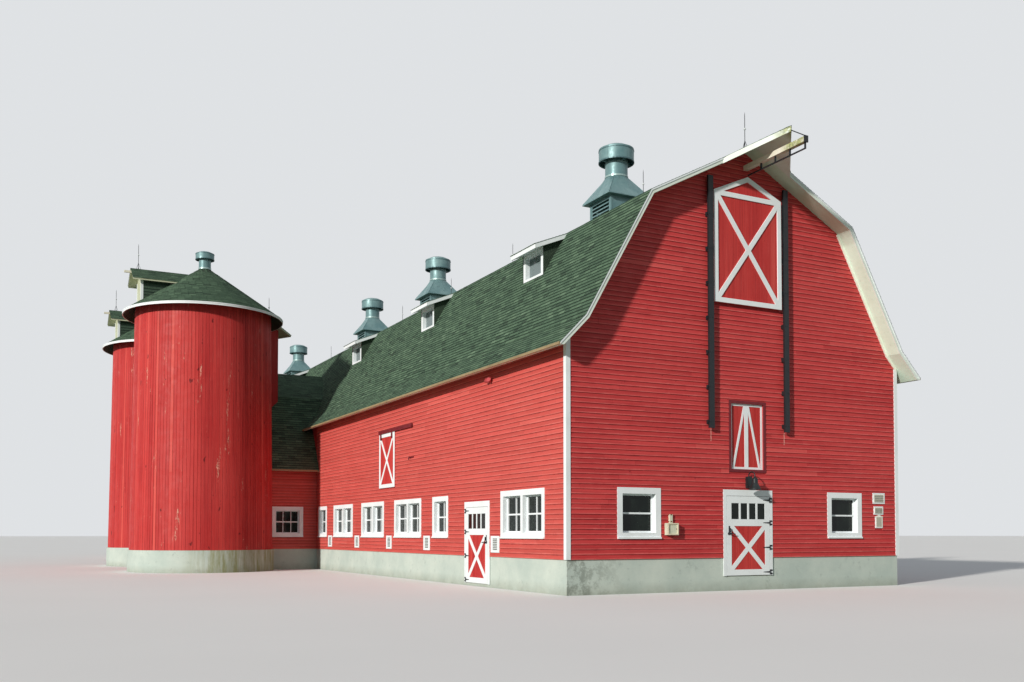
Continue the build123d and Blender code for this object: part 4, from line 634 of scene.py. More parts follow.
def lap_siding(pile, wall, high, left, right, holes=()):
    """Courses of lap siding with staggered joints, cut to the wall's outline and openings.

    The first course is also split at the feet of holes. The one at SPLIT_Z is split there twice over,
    which leaves pieces without height between its two parts.
    """
    splits = sorted({hole[2] for hole in holes})
    for course in range(math.ceil((high - FOUND) / COURSE)):
        z0 = FOUND + course * COURSE
        z1 = z0 + COURSE
        top = min(z1, high)
        joint_step = rng.uniform(*BOARD_LENGTHS)
        shift = rng.random() * joint_step
        cuts = [z0, *[z for z in splits if z0 + SLIVER < z < top - SLIVER], top]
        splits = [SPLIT_Z, SPLIT_Z]
        board_tones = {}
        for a, b in zip(cuts, cuts[1:]):
            lows = spans(left, right, holes, a + JUST_INSIDE)
            highs = spans(left, right, holes, b - JUST_INSIDE)
            if len(lows) != len(highs):
                lows = highs = spans(left, right, holes, (a + b) / 2)
            depths = [LAP_TOP + (LAP - LAP_TOP) * (z1 - z) / COURSE for z in (a, a, b, b)]
            # Edge values give each point's place in its course, for the painted butt highlight and lap shade
            edges = [(z - z0) / COURSE for z in (a, a, b, b)]
            for (s0, e0), (s1, e1) in zip(lows, highs):
                k = math.floor((min(s0, s1) + shift) / joint_step)
                while k * joint_step - shift < max(e0, e1):
                    u0 = k * joint_step - shift
                    u1 = u0 + joint_step
                    l0, l1 = max(s0, u0) + EDGE_GAP, max(s1, u0) + EDGE_GAP
                    r0, r1 = min(e0, u1) - EDGE_GAP, min(e1, u1) - EDGE_GAP
                    tone = board_tones.setdefault(k, random_tone(0.2))
                    k += 1
                    if r0 - l0 < SLIVER and r1 - l1 < SLIVER:
                        continue
                    r0, r1 = max(r0, l0 + EDGE_GAP), max(r1, l1 + EDGE_GAP)
                    corners = [wall.at(l0, a), wall.at(r0, a), wall.at(r1, b), wall.at(l1, b)]
                    pile.slab(corners, wall.out, BED, depths, tone, edges)


def make_siding(name, *faces):
    """One piece from faces, each a wall, its top, its left and right edges and its holes."""
    pile = Pile()
    for face in faces:
        lap_siding(pile, *face)
    pile.make(name, siding, "siding_red")


def window_holes(centres, width):
    return [(c - width / 2, c + width / 2, SILL, HEAD) for c in centres]


def along_wall(share):
    return WING_HALF + share * (HALF_L - WING_HALF)


def both_ways(shares):
    return [side * along_wall(s) for s in shares for side in BOTH]


# Gables, with the openings of the front one
GABLE_WINDOW = 1.903
GABLE_WINDOW_W = 0.715
DOOR_HALF = 0.455
DOOR_TOP = 1.45
LOFT_HALF = 0.342
LOFT_LOW = 1.708
LOFT_TOP = 2.747
HAY_HALF = 0.625
HAY_LOW = 4.14
HAY_SHOULDER = 5.76
HAY_PEAK = 6.035


def gable_half(z):
    return min(HALF_W - CORNER_BOARD, offset_at(MAIN_UNDER, z))


def hay_half(z):
    """Half the width of the hay door, which narrows to a point over its shoulders."""
    if z < HAY_SHOULDER:
        return HAY_HALF
    return HAY_HALF * (HAY_PEAK - z) / (HAY_PEAK - HAY_SHOULDER)


GABLE = (MAIN_UNDER[0][1], lambda z: -gable_half(z), gable_half)
front_holes = window_holes((-GABLE_WINDOW, GABLE_WINDOW), GABLE_WINDOW_W)
front_holes += [
    (-DOOR_HALF, DOOR_HALF, 0, DOOR_TOP),
    (-LOFT_HALF, LOFT_HALF, LOFT_LOW, LOFT_TOP),
    (lambda z: -hay_half(z), hay_half, HAY_LOW, HAY_PEAK),
]
front_holes += [(x - w / 2, x + w / 2, z, z + h) for x, z, w, h in FRONT_PLATES]
make_siding("front_siding", (front, *GABLE, front_holes))
make_siding("rear_siding", (rear, *GABLE, window_holes((-GABLE_WINDOW, 0, GABLE_WINDOW), GABLE_WINDOW_W)))

# Long walls: windows at shares of the way from the wing to the barn's end
WALL_TOP = height_at(MAIN_UNDER, HALF_W)
SIDE_EDGE = HALF_L - CORNER_BOARD
DOUBLE = 1.34
SINGLE = 0.67
CORNER_WINDOW = HALF_L - 1.25
DOUBLES = (0.1757, 0.3403, 0.5056)
WEST_SINGLES = (0.0445, 0.6368)
EAST_DOUBLES = (-0.1219, *DOUBLES)
EAST_SINGLES = (0.0272, 0.6368, 0.7622)
SIDE_DOOR_TOP = 1.32
SLIDE = along_wall(0.4146)
SLIDE_HALF = 0.42
SLIDE_LOW = 1.7
SLIDE_TOP = 2.745

near = [(along_wall(s), DOUBLE / 2) for s in DOUBLES] + [(along_wall(s), SINGLE / 2) for s in WEST_SINGLES]
near = sorted(near)
pairs = [*zip(near, near[1:]), ((SIDE_DOOR, DOOR_HALF), (CORNER_WINDOW, DOUBLE / 2))]
GRILLES = [(a + half_a + b - half_b) / 2 for (a, half_a), (b, half_b) in pairs]
west_holes = window_holes([*both_ways(DOUBLES), -CORNER_WINDOW, CORNER_WINDOW], DOUBLE)
west_holes += window_holes([*both_ways(WEST_SINGLES), -SIDE_DOOR], SINGLE)
west_holes += [(u - GRILLE_W / 2, u + GRILLE_W / 2, GRILLE_Z, GRILLE_Z + GRILLE_H) for u in GRILLES]
west_holes.append((SIDE_DOOR - DOOR_HALF, SIDE_DOOR + DOOR_HALF, 0, SIDE_DOOR_TOP))
west_holes.append((SLIDE - SLIDE_HALF, SLIDE + SLIDE_HALF, SLIDE_LOW, SLIDE_TOP))


def wing_edge(z):
    """How far the wing covers the western wall to each side."""
    return WING_HALF if z < WING[-1][1] else max(WING_HALF, offset_at(WING, z))


make_siding(
    "west_siding",
    (west, WALL_TOP, wing_edge, steady(SIDE_EDGE), west_holes),
    (west, WALL_TOP, steady(-SIDE_EDGE), lambda z: -wing_edge(z), west_holes),
)
east_holes = window_holes([*both_ways(EAST_DOUBLES), -CORNER_WINDOW, CORNER_WINDOW], DOUBLE)
east_holes += window_holes(both_ways(EAST_SINGLES), SINGLE)
make_siding("east_siding", (east, WALL_TOP, steady(-SIDE_EDGE), steady(SIDE_EDGE), east_holes))

# Wing
SILO_SIDE = SILO_X + 1.47
WING_WINDOW = -3.73
WING_WINDOW_W = 0.72
BACK_HALF = 1.25


def back_half(z):
    return min(BACK_HALF, offset_at(WING_UNDER, z))


wing_top = height_at(WING_UNDER, WING_HALF)
wing_faces = []
for wall, sign in ((wing_near, 1), (wing_far, -1)):
    ends = sorted((sign * SILO_SIDE, sign * (-HALF_W - LAP)))
    hole = window_holes([sign * WING_WINDOW], WING_WINDOW_W)
    wing_faces.append((wall, wing_top, steady(ends[0]), steady(ends[1]), hole))
wing_faces.append((wing_back, WING_UNDER[0][1], lambda z: -back_half(z), back_half))
make_siding("wing_siding", *wing_faces)


# Shingles
TAB = 0.1525
EXPOSURE = 0.066
TAB_T = 0.006
TAB_TOP_T = 0.0006
TAB_BED = 0.0004
TAB_SPREAD = 0.24
SLOT = 0.0032
EAVE_LIP = 0.012
ROOF_LIP = 0.009
MIN_COURSE = 0.008
TAB_JITTER = 0.006
TAB_SAG = 0.0015


def wedge(pile, points_up, points_down, normal, thick, tone):
    """One tab: thin at its top edge and thick at its lower edge."""
    base = [Vector(p) for p in (*points_up, *points_down)]
    top = [p + normal * t for p, t in zip(base, (TAB_TOP_T, TAB_TOP_T, thick, thick))]
    low = [p - normal * TAB_BED for p in base]
    faces = [(3, 2, 1, 0), (4, 5, 6, 7), (2, 3, 7, 6), (3, 0, 4, 7), (1, 2, 6, 5), (0, 1, 5, 4)]
    # Edge values are 1 along the tab's top, where the painted shade under the course above goes
    pile.add(low + top, faces, tone, [1.0, 1.0, 0.0, 0.0] * 2)


def free_stretches(free, holes, v):
    """What is left of a course beside the holes that it runs into."""
    for a, b, top, bottom in holes:
        if top < v < bottom:
            cut = []
            for l0, l1, r0, r1 in free:
                cut.append((l0, l1, min(r0, a), min(r1, a)))
                cut.append((max(l0, b), max(l1, b), r0, r1))
            free = [f for f in cut if max(f[2] - f[0], f[3] - f[1]) > NARROW]
    return free


def shingle(pile, slope, length, left, right, holes=(), skip=None, lip=EAVE_LIP):
    """Tabs in staggered courses down a slope, from a top edge to a lip past its eave."""
    flip = slope.across.cross(slope.along).dot(slope.out) > 0
    for course in range(math.ceil((length + lip) / EXPOSURE)):
        v1 = length + lip - course * EXPOSURE
        v0 = max(0.0, v1 - EXPOSURE)
        if v1 - v0 < MIN_COURSE:
            continue
        shift = (course % 2) * TAB / 2 + rng.uniform(-TAB_JITTER, TAB_JITTER)
        free = [(left(v0), left(v1), right(v0), right(v1))]
        for l0, l1, r0, r1 in free_stretches(free, holes, (v0 + v1) / 2):
            k = math.floor((min(l0, l1) - shift) / TAB)
            while k * TAB + shift < max(r0, r1):
                a = k * TAB + shift + SLOT
                b = a + TAB - 2 * SLOT
                k += 1
                ua0, ub0 = max(a, l0), min(b, r0)
                ua1, ub1 = max(a, l1), min(b, r1)
                if ub0 - ua0 < NARROW and ub1 - ua1 < NARROW:
                    continue
                ub0, ub1 = max(ub0, ua0 + EDGE_GAP), max(ub1, ua1 + EDGE_GAP)
                if skip and skip(slope.at((ua1 + ub1) / 2, (v0 + v1) / 2)):
                    continue
                sag = rng.uniform(-TAB_SAG, TAB_SAG)
                ups = [slope.at(ub0, v0), slope.at(ua0, v0)]
                downs = [slope.at(ua1, v1 + sag), slope.at(ub1, v1 + sag)]
                if flip:
                    ups, downs = ups[::-1], downs[::-1]
                tone = random_tone(TAB_SPREAD)
                wedge(pile, ups, downs, slope.out, TAB_T * rng.uniform(0.8, 1.15), tone)


# Main roof
DORMER_SPOTS = [side * s * HALF_L for s in (0.2061, 0.5172, 0.8283) for side in BOTH]
DORMER_HOLE = 0.3525
DORMER_FOOT = 4.83
HOOD_HALF = 0.61
HOOD_TIP = 14.905
HOOD_LIP = 0.036
DORMER_TOP_GAP = 0.02


def hood_edge(x):
    """How far forward the roof's edge lies at a distance from the ridge."""
    return RAKE + max(0.0, 1 - x / HOOD_HALF) * (HOOD_TIP + HOOD_LIP - RAKE)


def hood_side(run):
    """Front edge of the top slope, which the hood draws out."""
    return lambda v: -hood_edge(v * run) - ROOF_LIP


for side, name in ((-1, "west_shingles"), (1, "east_shingles")):
    pile = Pile()
    for i, ((x0, z0), (x1, z1)) in enumerate(zip(MAIN, MAIN[1:])):
        length = math.hypot(x1 - x0, z1 - z0)
        down = (side * (x1 - x0), 0, z1 - z0)
        slope = Plane((side * x0, 0, z0), (0, 1, 0), down, (side * (z0 - z1), 0, x1 - x0))
        holes = []
        if i == 1:
            foot = (MAIN[1][1] - DORMER_FOOT) / (z0 - z1) * length
            holes = [(s - DORMER_HOLE, s + DORMER_HOLE, DORMER_TOP_GAP, foot) for s in DORMER_SPOTS]
        left = steady(-RAKE - ROOF_LIP) if i else hood_side((x1 - x0) / length)
        shingle(pile, slope, length, left, steady(RAKE + ROOF_LIP), holes, lip=EAVE_LIP if i == 2 else 0.0)
    pile.make(name, shingles, "shingle_green")

# Wing roof
WING_LIP = 0.109


def in_silo(point):
    return any(math.hypot(point.x - SILO_X, point.y - s * SILO_Y) < SILO_TOP for s in BOTH)


wing_shingles = Pile()
for side in BOTH:
    for (y0, z0), (y1, z1) in zip(WING, WING[1:]):
        length = math.hypot(y1 - y0, z1 - z0)
        down = (0, side * (y1 - y0), z1 - z0)
        slope = Plane((0, side * y0, z0), (1, 0, 0), down, (0, side * (z0 - z1), y1 - y0))

        def valley(v, start=z0, fall=(z0 - z1) / length):
            """Where the wing's roof meets the main roof, or the wall under it."""
            z = start - v * fall
            return -offset_at(MAIN, z) if z > MAIN[-1][1] - ROOF_T else -HALF_W

        shingle(wing_shingles, slope, length, steady(-WING_END - WING_LIP), valley, skip=in_silo)
wing_shingles.make("wing_shingles", shingles, "shingle_green")

# Silo cones, dormer roofs and chute roofs
SLANT = math.hypot(1, CONE_SLOPE)
CONE_TIP = 0.16
FACE = 1.39
DORMER_HALF = 0.34
DORMER_RIDGE = 6.61
DORMER_FALL = 0.66
DORMER_ROOF_HALF = 0.45
DORMER_FRONT = 1.565
CHUTE_TURN = math.radians(28)
CHUTE_FALL = 0.45
CHUTE_START = 1.05
CHUTE_END = 2.2
CHUTE_DROP = 0.075
CHUTE_ROOF_HALF = 0.434
CHUTE_COVER_HALF = 0.42
CHUTE_COVER_FROM = 1.0
DORMER_COVER_FROM = 0.2
COVER_MARGIN = 0.03


def chute_way(side):
    """Step out along a chute, seen from above."""
    return math.cos(CHUTE_TURN), -side * math.sin(CHUTE_TURN)


def chute_local(point, side):
    """Place of a point out along a chute and across it."""
    dx, dy = point.x - SILO_X, point.y - side * SILO_Y
    c, s = chute_way(side)
    return dx * c + dy * s, -dx * s + dy * c


def chute_line(r):
    return SILO_EAVE - CHUTE_DROP + CHUTE_FALL * (CHUTE_END - r)


def cone_height(r):
    return SILO_EAVE + CONE_SLOPE * (CONE_R - r)


def round_silo(side, r, angle, z):
    """A point at a distance from a silo's middle line."""
    return Vector((SILO_X + r * math.cos(angle), side * SILO_Y + r * math.sin(angle), z))


def cone_skip(point, side):
    """True where a chute's or a dormer's roof covers the cone."""
    out, across = chute_local(point, side)
    if out > CHUTE_COVER_FROM and abs(across) < CHUTE_COVER_HALF:
        if chute_line(out) - 0.04 < point.z + COVER_MARGIN:
            return True
    dx, dy = SILO_X - point.x, abs(point.y - side * SILO_Y)
    under_dormer = DORMER_RIDGE - DORMER_FALL * dy > point.z
    return DORMER_COVER_FROM < dx < FACE and dy < DORMER_HALF and under_dormer


def cone_shingles(pile, side):
    v1 = CONE_R * SLANT + EAVE_LIP
    course = 0
    while v1 > CONE_TIP:
        v0 = v1 - EXPOSURE
        r0, r1 = v0 / SLANT, v1 / SLANT
        count = max(8, round(2 * math.pi * r1 / TAB))
        gap = SLOT / r1
        for k in range(count):
            a0 = 2 * math.pi * (k + 0.5 * (course % 2)) / count + gap
            a1 = a0 + 2 * math.pi / count - 2 * gap
            mid = (a0 + a1) / 2
            half_way = (r0 + r1) / 2
            if cone_skip(round_silo(side, half_way, mid, cone_height(half_way)), side):
                continue
            normal = Vector((CONE_SLOPE * math.cos(mid), CONE_SLOPE * math.sin(mid), 1)).normalized()
            tone = random_tone(TAB_SPREAD)
            ups = [round_silo(side, r0, a, cone_height(r0)) for a in (a1, a0)]
            downs = [round_silo(side, r1, a, cone_height(r1)) for a in (a0, a1)]
            wedge(pile, ups, downs, normal, TAB_T, tone)
        v1 = v0
        course += 1


def silo_dormer_roof(pile, side):
    """Two small slopes that run back into the cone."""
    run = math.hypot(1, DORMER_FALL)

    def reach(v):
        """Where a slope meets the cone."""
        z = DORMER_RIDGE - v * DORMER_FALL / run
        y = v / run
        r = CONE_R - (z - SILO_EAVE) / CONE_SLOPE
        return -math.sqrt(max(0.0, r * r - y * y))

    for lean in BOTH:
        top = (SILO_X, side * SILO_Y, DORMER_RIDGE)
        slope = Plane(top, (1, 0, 0), (0, lean, -DORMER_FALL), (0, lean * DORMER_FALL, 1))
        shingle(pile, slope, DORMER_ROOF_HALF * run, steady(-DORMER_FRONT - ROOF_LIP), reach)


def chute_roof(pile, side):
    """One slope out and down from the silo."""
    c, s = chute_way(side)
    out = Vector((c, s, 0))
    start = Vector((SILO_X, side * SILO_Y, 0)) + out * CHUTE_START + Vector((0, 0, chute_line(CHUTE_START)))
    normal = Vector((CHUTE_FALL * c, CHUTE_FALL * s, 1))
    slope = Plane(start, Vector((-s, c, 0)), out - Vector((0, 0, CHUTE_FALL)), normal)
    length = (CHUTE_END - CHUTE_START) * math.hypot(1, CHUTE_FALL)

    def in_cone(point):
        r = math.hypot(point.x - SILO_X, point.y - side * SILO_Y)
        return point.z < cone_height(r) - 0.01 and r < CONE_R

    shingle(pile, slope, length, steady(-CHUTE_ROOF_HALF), steady(CHUTE_ROOF_HALF), skip=in_cone)


silo_shingles = Pile()
for side in BOTH:
    cone_shingles(silo_shingles, side)
    silo_dormer_roof(silo_shingles, side)
    chute_roof(silo_shingles, side)
silo_shingles.make("silo_shingles", shingles, "shingle_green")

# Dormer roofs of the main roof
SHED_FALL = -0.41
SHED_EAVE = 2.43
SHED_HALF = 0.4125 + 0.006
dormer_shingles = Pile()
for side in BOTH:
    for spot in DORMER_SPOTS:
        length = (SHED_EAVE - MAIN[1][0]) * math.hypot(1, SHED_FALL)
        top = (side * MAIN[1][0], spot, MAIN[1][1])
        slope = Plane(top, (0, 1, 0), (side, 0, SHED_FALL), (-side * SHED_FALL, 0, 1))
        shingle(dormer_shingles, slope, length, steady(-SHED_HALF), steady(SHED_HALF))
dormer_shingles.make("dormer_shingles", shingles, "shingle_green")

# Silo walls: upright boards in three tiers, with a few wide gaps
BOARDS = 128
TIERS = (FOUND + 0.004, 2.18, 3.92, SILO_EAVE + 0.02)
JOINT_SHIFT = 0.4
JOINT_GAP = 0.0015
BOARD_T = 0.007
BOARD_SEAM = 0.011
BOARD_ROUND = 0.003
BOARD_GAP = 0.0012
WIDE_GAP = 0.004
ROOF_DIP = 0.02
MIN_BOARD = 0.02
WIDE_GAPS = 9
CHUTE_HALF = 0.27
# Edge values across a board's section: 1 at its sides, where the painted groove shade goes
SECTION_EDGES = [1.0, 1.0, 0.8, 0.0, 0.0, 0.8, 1.0, 1.0]


def silo_radius(z):
    return SILO_FOOT + (SILO_TOP - SILO_FOOT) * min(1.0, (z - FOUND) / (SILO_EAVE - FOUND))


def silo_board(pile, side, a0, a1, low, high, gap, tone):
    """One board between two angles and two heights, with rounded long edges."""
    thick = BOARD_T * rng.uniform(0.85, 1.1)
    section = [(0, 0), (0, thick * 0.6), (BOARD_ROUND, thick), (BOARD_SEAM, thick)]
    outline = [(a0 + gap + across / SILO_TOP, lift) for across, lift in section]
    outline += [(a1 - gap - across / SILO_TOP, lift) for across, lift in section[::-1]]
    count = len(outline)
    verts = [round_silo(side, silo_radius(z) + lift, a, z) for z in (low, high) for a, lift in outline]
    faces = [(i + count, i + count + 1, i + 1, i) for i in range(count - 1)]
    faces.append((2 * count - 1, count, 0, count - 1))
    faces += [tuple(range(count)), tuple(range(2 * count - 1, count - 1, -1))]
    pile.add(verts, faces, random_tone(0.1, tone), SECTION_EDGES * 2)


silo_boards = Pile()
for side in BOTH:
    wide_gaps = {rng.randrange(BOARDS) for _ in range(WIDE_GAPS)}
    for k in range(BOARDS):
        joints = [TIERS[i] + JOINT_SHIFT * math.sin((2 + i) * 1.7 * k + i) for i in (1, 2)]
        tiers = (TIERS[0], *joints, TIERS[-1])
        a0 = 2 * math.pi * k / BOARDS
        a1 = 2 * math.pi * (k + 1) / BOARDS
        surface = round_silo(side, SILO_TOP, (a0 + a1) / 2, 0)
        out, across = chute_local(surface, side)
        if out > 0 and abs(across) < CHUTE_HALF:
            continue
        bottom = FOUND
        if surface.x > -WING_END - ROOF_DIP and abs(surface.y) < WING_HALF:
            bottom = height_at(WING, abs(surface.y)) - ROOF_DIP
        base_tone = random_tone(0.22)
        gap = (WIDE_GAP if k in wide_gaps else BOARD_GAP) / SILO_TOP
        for low, high in zip(tiers, tiers[1:]):
            low, high = max(low, bottom), high - JOINT_GAP
            if high - low >= MIN_BOARD:
                silo_board(silo_boards, side, a0, a1, low, high, gap, base_tone)
silo_boards.make("silo_boards", silo_red, "siding_red")

# Planks on the doors; a leaf's values end with its half width, its foot and its top
LEAF_OUT = 0.004
LOFT_OUT = -0.026
HAY_OUT = 0.045
SLIDE_OUT = 0.018
PLANK_T = 0.0025
PLANK_GAP = 0.0035
WIDE_PLANK = 0.09
PANEL_HALF = 0.32
LOFT_LEAF = (0.15, 0.145, 1.755, 2.7)
HAY_LEAF_HALF = 0.61
HAY_LEAF_LOW = 4.155
SLIDE_LEAF = (0.4, 1.71, 2.735)
HINGED = ((front, 0, 0.29, 0.935, "front_door"), (west, SIDE_DOOR, 0.125, 0.805, "side_door"))


def planks(pile, wall, left, right, low, high, out, width=0.075):
    """Upright boards on a leaf, whose top may follow a line across the wall."""
    count = 2 * round((right - left) / width / 2)
    step = (right - left) / count
    for k in range(count):
        a = left + k * step + PLANK_GAP / 2
        b = left + (k + 1) * step - PLANK_GAP / 2
        tops = (high(b), high(a)) if callable(high) else (high, high)
        corners = [wall.at(a, low), wall.at(b, low), wall.at(b, tops[0]), wall.at(a, tops[1])]
        pile.slab(corners, wall.out, out + BED, out + PLANK_T, random_tone(0.2))


def hay_top(u):
    return HAY_SHOULDER + (HAY_PEAK - HAY_SHOULDER) * (1 - abs(u) / HAY_HALF) - 0.01


for wall, middle, low, high, body in HINGED:
    leaf_planks = Pile()
    planks(leaf_planks, wall, middle - PANEL_HALF, middle + PANEL_HALF, low, high, LEAF_OUT)
    leaf_planks.make(body + "_planks", upright_red, "siding_red", body)

door_planks = Pile()
middle, half, low, high = LOFT_LEAF
for side in BOTH:
    planks(door_planks, front, side * middle - half, side * middle + half, low, high, LOFT_OUT)
planks(door_planks, front, -HAY_LEAF_HALF, HAY_LEAF_HALF, HAY_LEAF_LOW, hay_top, HAY_OUT, WIDE_PLANK)
half, low, high = SLIDE_LEAF
planks(door_planks, west, SLIDE - half, SLIDE + half, low, high, SLIDE_OUT, WIDE_PLANK)
door_planks.make("upper_door_planks", upright_red, "siding_red")


# Straps' bolts and the handles, which turn with the doors; a lever's bends are (back, down, out)
def bolts(pile, wall, places, out, radius=0.006):
    """Six-sided bolt heads on a wall."""
    profile = ((radius, 0), (radius, radius * 0.6), (radius * 0.55, radius * 0.8))
    for u, z in places:
        pile.lathe(wall.at(u, z, out + BED), wall.out, profile, 6)


STRAP_OUT = 0.016
STRAP_BOLT = 0.0045
STRAP_BOLTS = (0.03, 0.062, 0.094)
HANDLE_REACH = 0.755
HANDLE_DROP = 0.16
HANDLE_ROSE = ((0.022, 0), (0.022, 0.004), (0.012, 0.008), (0.011, 0.04))
LEVER = ((0, 0, 0.05), (0.04, 0, 0.052), (0.085, 0.006, 0.05))
LEVER_R = 0.0075
ROSE_OUT = 0.0115
HINGES = (
    (front, 0.3975, -1, (0.257, 0.616, 0.976, 1.307), "front_door"),
    (west, 10.8275, 1, (0.092, 0.469, 0.846, 1.177), "side_door"),
)
for wall, knuckle, toward, heights, body in HINGES:
    fittings = Pile()
    places = [(knuckle + toward * d, z) for z in heights for d in STRAP_BOLTS]
    bolts(fittings, wall, places, STRAP_OUT, STRAP_BOLT)
    u = knuckle + toward * HANDLE_REACH
    z = heights[2] - HANDLE_DROP
    fittings.lathe(wall.at(u, z, ROSE_OUT), wall.out, HANDLE_ROSE, 16)
    fittings.tube([wall.at(u - toward * back, z - down, out) for back, down, out in LEVER], LEVER_R)
    fittings.make(body + "_fittings", black_steel, "steel_black", body)

# Brackets and bolts of the hay door's rails
RAIL_OUT = 0.084
RAIL_HALF = 0.044
RAIL_BOLT = 0.02
BRACKETS = [2.405 + 0.497 * i for i in range(7)]
BRACKET_EAR = 0.026
BRACKET_HALF = 0.018
EAR_OUT = 0.064
EAR_T = 0.008
EAR_INTO = 0.01
EAR_EDGE = -RAIL_X - RAIL_HALF
rail_fittings = Pile()
for side in BOTH:
    for z in BRACKETS:
        places = [(side * RAIL_X - RAIL_BOLT, z), (side * RAIL_X + RAIL_BOLT, z)]
        bolts(rail_fittings, front, places, RAIL_OUT, 0.007)
for z in BRACKETS:
    outline = (EAR_EDGE - BRACKET_EAR, EAR_EDGE + EAR_INTO, z - BRACKET_HALF, z + BRACKET_HALF)
    rail_fittings.panel(front, *outline, EAR_OUT - EAR_T, EAR_OUT)
    bolts(rail_fittings, front, [(EAR_EDGE - BRACKET_EAR / 2, z)], EAR_OUT)
rail_fittings.make("hay_rail_fittings", black_steel, "steel_black")

# Hangers of the sliding door, the bolts of its track and an old hook on the west wall
TRACK_OUT = 0.042
TRACK_Z = 2.778
HANGER_OUT = TRACK_OUT + 0.005
HANGERS = ((2.63, 2.71, SLIDE_OUT + 0.0075, TRACK_OUT), (2.63, 2.8, TRACK_OUT, HANGER_OUT))
HANGER_AWAY = 0.3
HANGER_HALF = 0.02
HANGER_BOLTS = (2.65, 2.69, TRACK_Z)
TRACK_BOLTS = [SLIDE - 0.35 + 0.24 * i for i in range(8)]
HOOK_U = 8.445
HOOK_Z = 2.2
HOOK_BOARD = (0.12, 0.011, 0.022)
HOOK = ((0, 0.02), (0, 0.055), (0.03, 0.066), (0.05, 0.05))
track_fittings = Pile()
for u in (SLIDE - HANGER_AWAY, SLIDE + HANGER_AWAY):
    for plate in HANGERS:
        track_fittings.panel(west, u - HANGER_HALF, u + HANGER_HALF, *plate)
    bolts(track_fittings, west, [(u, z) for z in HANGER_BOLTS], HANGER_OUT, 0.008)
bolts(track_fittings, west, [(u, TRACK_Z) for u in TRACK_BOLTS], TRACK_OUT, 0.009)
half, up, out = HOOK_BOARD
track_fittings.panel(west, HOOK_U - half, HOOK_U + half, HOOK_Z - up, HOOK_Z + up, 0.001, out)
track_fittings.tube([west.at(HOOK_U, HOOK_Z - down, out) for down, out in HOOK], 0.009)
track_fittings.make("slide_track_fittings", track_red, "siding_red")

# Grey slats in the louvred wall plates
GRILLE_RIM = 0.036
GRILLE_HALF = 0.076
LOUVRES = 14
LOUVRE_START = GRILLE_Z + 0.044
LOUVRE_STEP = 0.0122
LOUVRE_H = 0.0045
LOUVRE_HALF = 0.075
LOUVRE_OUT = [0.0125, 0.0125, 0.0085, 0.0085]
grille = Pile()
for u in GRILLES:
    low, high = GRILLE_Z + GRILLE_RIM, GRILLE_Z + GRILLE_H - GRILLE_RIM
    grille.panel(west, u - GRILLE_HALF, u + GRILLE_HALF, low, high, 0.0055, 0.0075)
    for i in range(LOUVRES):
        z = LOUVRE_START + i * LOUVRE_STEP
        grille.panel(west, u - LOUVRE_HALF, u + LOUVRE_HALF, z, z + LOUVRE_H, 0.0065, LOUVRE_OUT)
grille.make("louvre_grilles", grille_grey, "galvanised_grey")

# Plates by the front's right window: bare panels with rims, slats on two and a little gable on the lowest
PLATE_T = 0.012
PLATE_RIM = 0.1
PLATE_SLATS = 4
SLAT_H = 0.007
SLAT_HALF = 0.38
SLAT_FOOT = 0.17
SLAT_SPAN = 0.66
RIM_BAR = 0.0035
SLAT_HIGHS = [PLATE_T + 0.007, PLATE_T + 0.007, PLATE_T + 0.003, PLATE_T + 0.003]
panels = Pile()
caps = Pile()
slats = Pile()
for x, z, width, height in FRONT_PLATES:
    rim = PLATE_RIM * width
    left, right, low, high = x - width / 2 + rim, x + width / 2 - rim, z + rim, z + height - rim
    panels.panel(front, left, right, low, high, PLATE_T + BED, PLATE_T + 0.002)
    places = ((left, low), (right, low), (right, high), (left, high))
    corners = [front.at(u, v, PLATE_T + 0.001) for u, v in places]
    for a, b in zip(corners, corners[1:] + corners[:1]):
        caps.tube([a, b], RIM_BAR, 6)
panels.make("front_plate_panels", plate_face, "trim_white")
for x, z, width, height in FRONT_PLATES[:2]:
    half = SLAT_HALF * width
    for i in range(PLATE_SLATS):
        low = z + height * (SLAT_FOOT + SLAT_SPAN * i / PLATE_SLATS)
        slats.panel(front, x - half, x + half, low, low + SLAT_H, PLATE_T + 0.001, SLAT_HIGHS)
slats.make("front_plate_slats", grille_grey, "galvanised_grey")
x, z, width, height = FRONT_PLATES[-1]
GABLE_REACH = width / 2 + 0.016
peak = [(x - GABLE_REACH, z + height - 0.012), (x + GABLE_REACH, z + height - 0.012), (x, z + height + 0.022)]
caps.slab([front.at(*point) for point in peak], front.out, 0.008, PLATE_T + 0.006)
caps.make("front_plate_rims", plate_rim, "trim_white")

# Meter box: raised rim, screws and straps on the pipe
METER_X = -1.39
METER_HALF = 0.09
METER_LOW = 0.797
METER_TOP = 0.962
METER_OUT = 0.075
METER_RIM = 0.018
STRAPS = (0.975, 1.07)
STRAP_H = 0.016
PIPE_R = 0.024
PIPE_OUT = 0.0135
SCREW_AWAY = 0.06
SCREW_Z = 0.88
rim = Pile()
for left, right, low, high in (
    (-METER_HALF, METER_HALF, METER_LOW, METER_LOW + METER_RIM),
    (-METER_HALF, METER_HALF, METER_TOP - METER_RIM, METER_TOP),
    (-METER_HALF, -METER_HALF + METER_RIM, METER_LOW + METER_RIM, METER_TOP - METER_RIM),
    (METER_HALF - METER_RIM, METER_HALF, METER_LOW + METER_RIM, METER_TOP - METER_RIM),
):
    rim.panel(front, METER_X + left, METER_X + right, low, high, METER_OUT - 0.004, METER_OUT + 0.012)
rim.make("meter_box_rim", meter_rim, "galvanised_grey")
straps = Pile()
for z in STRAPS:
    straps.ring(METER_X, -HALF_L - PIPE_OUT, PIPE_R, z, z + STRAP_H, 0.004, 16)
bolts(straps, front, [(METER_X + side * SCREW_AWAY, SCREW_Z) for side in BOTH], METER_OUT, 0.007)
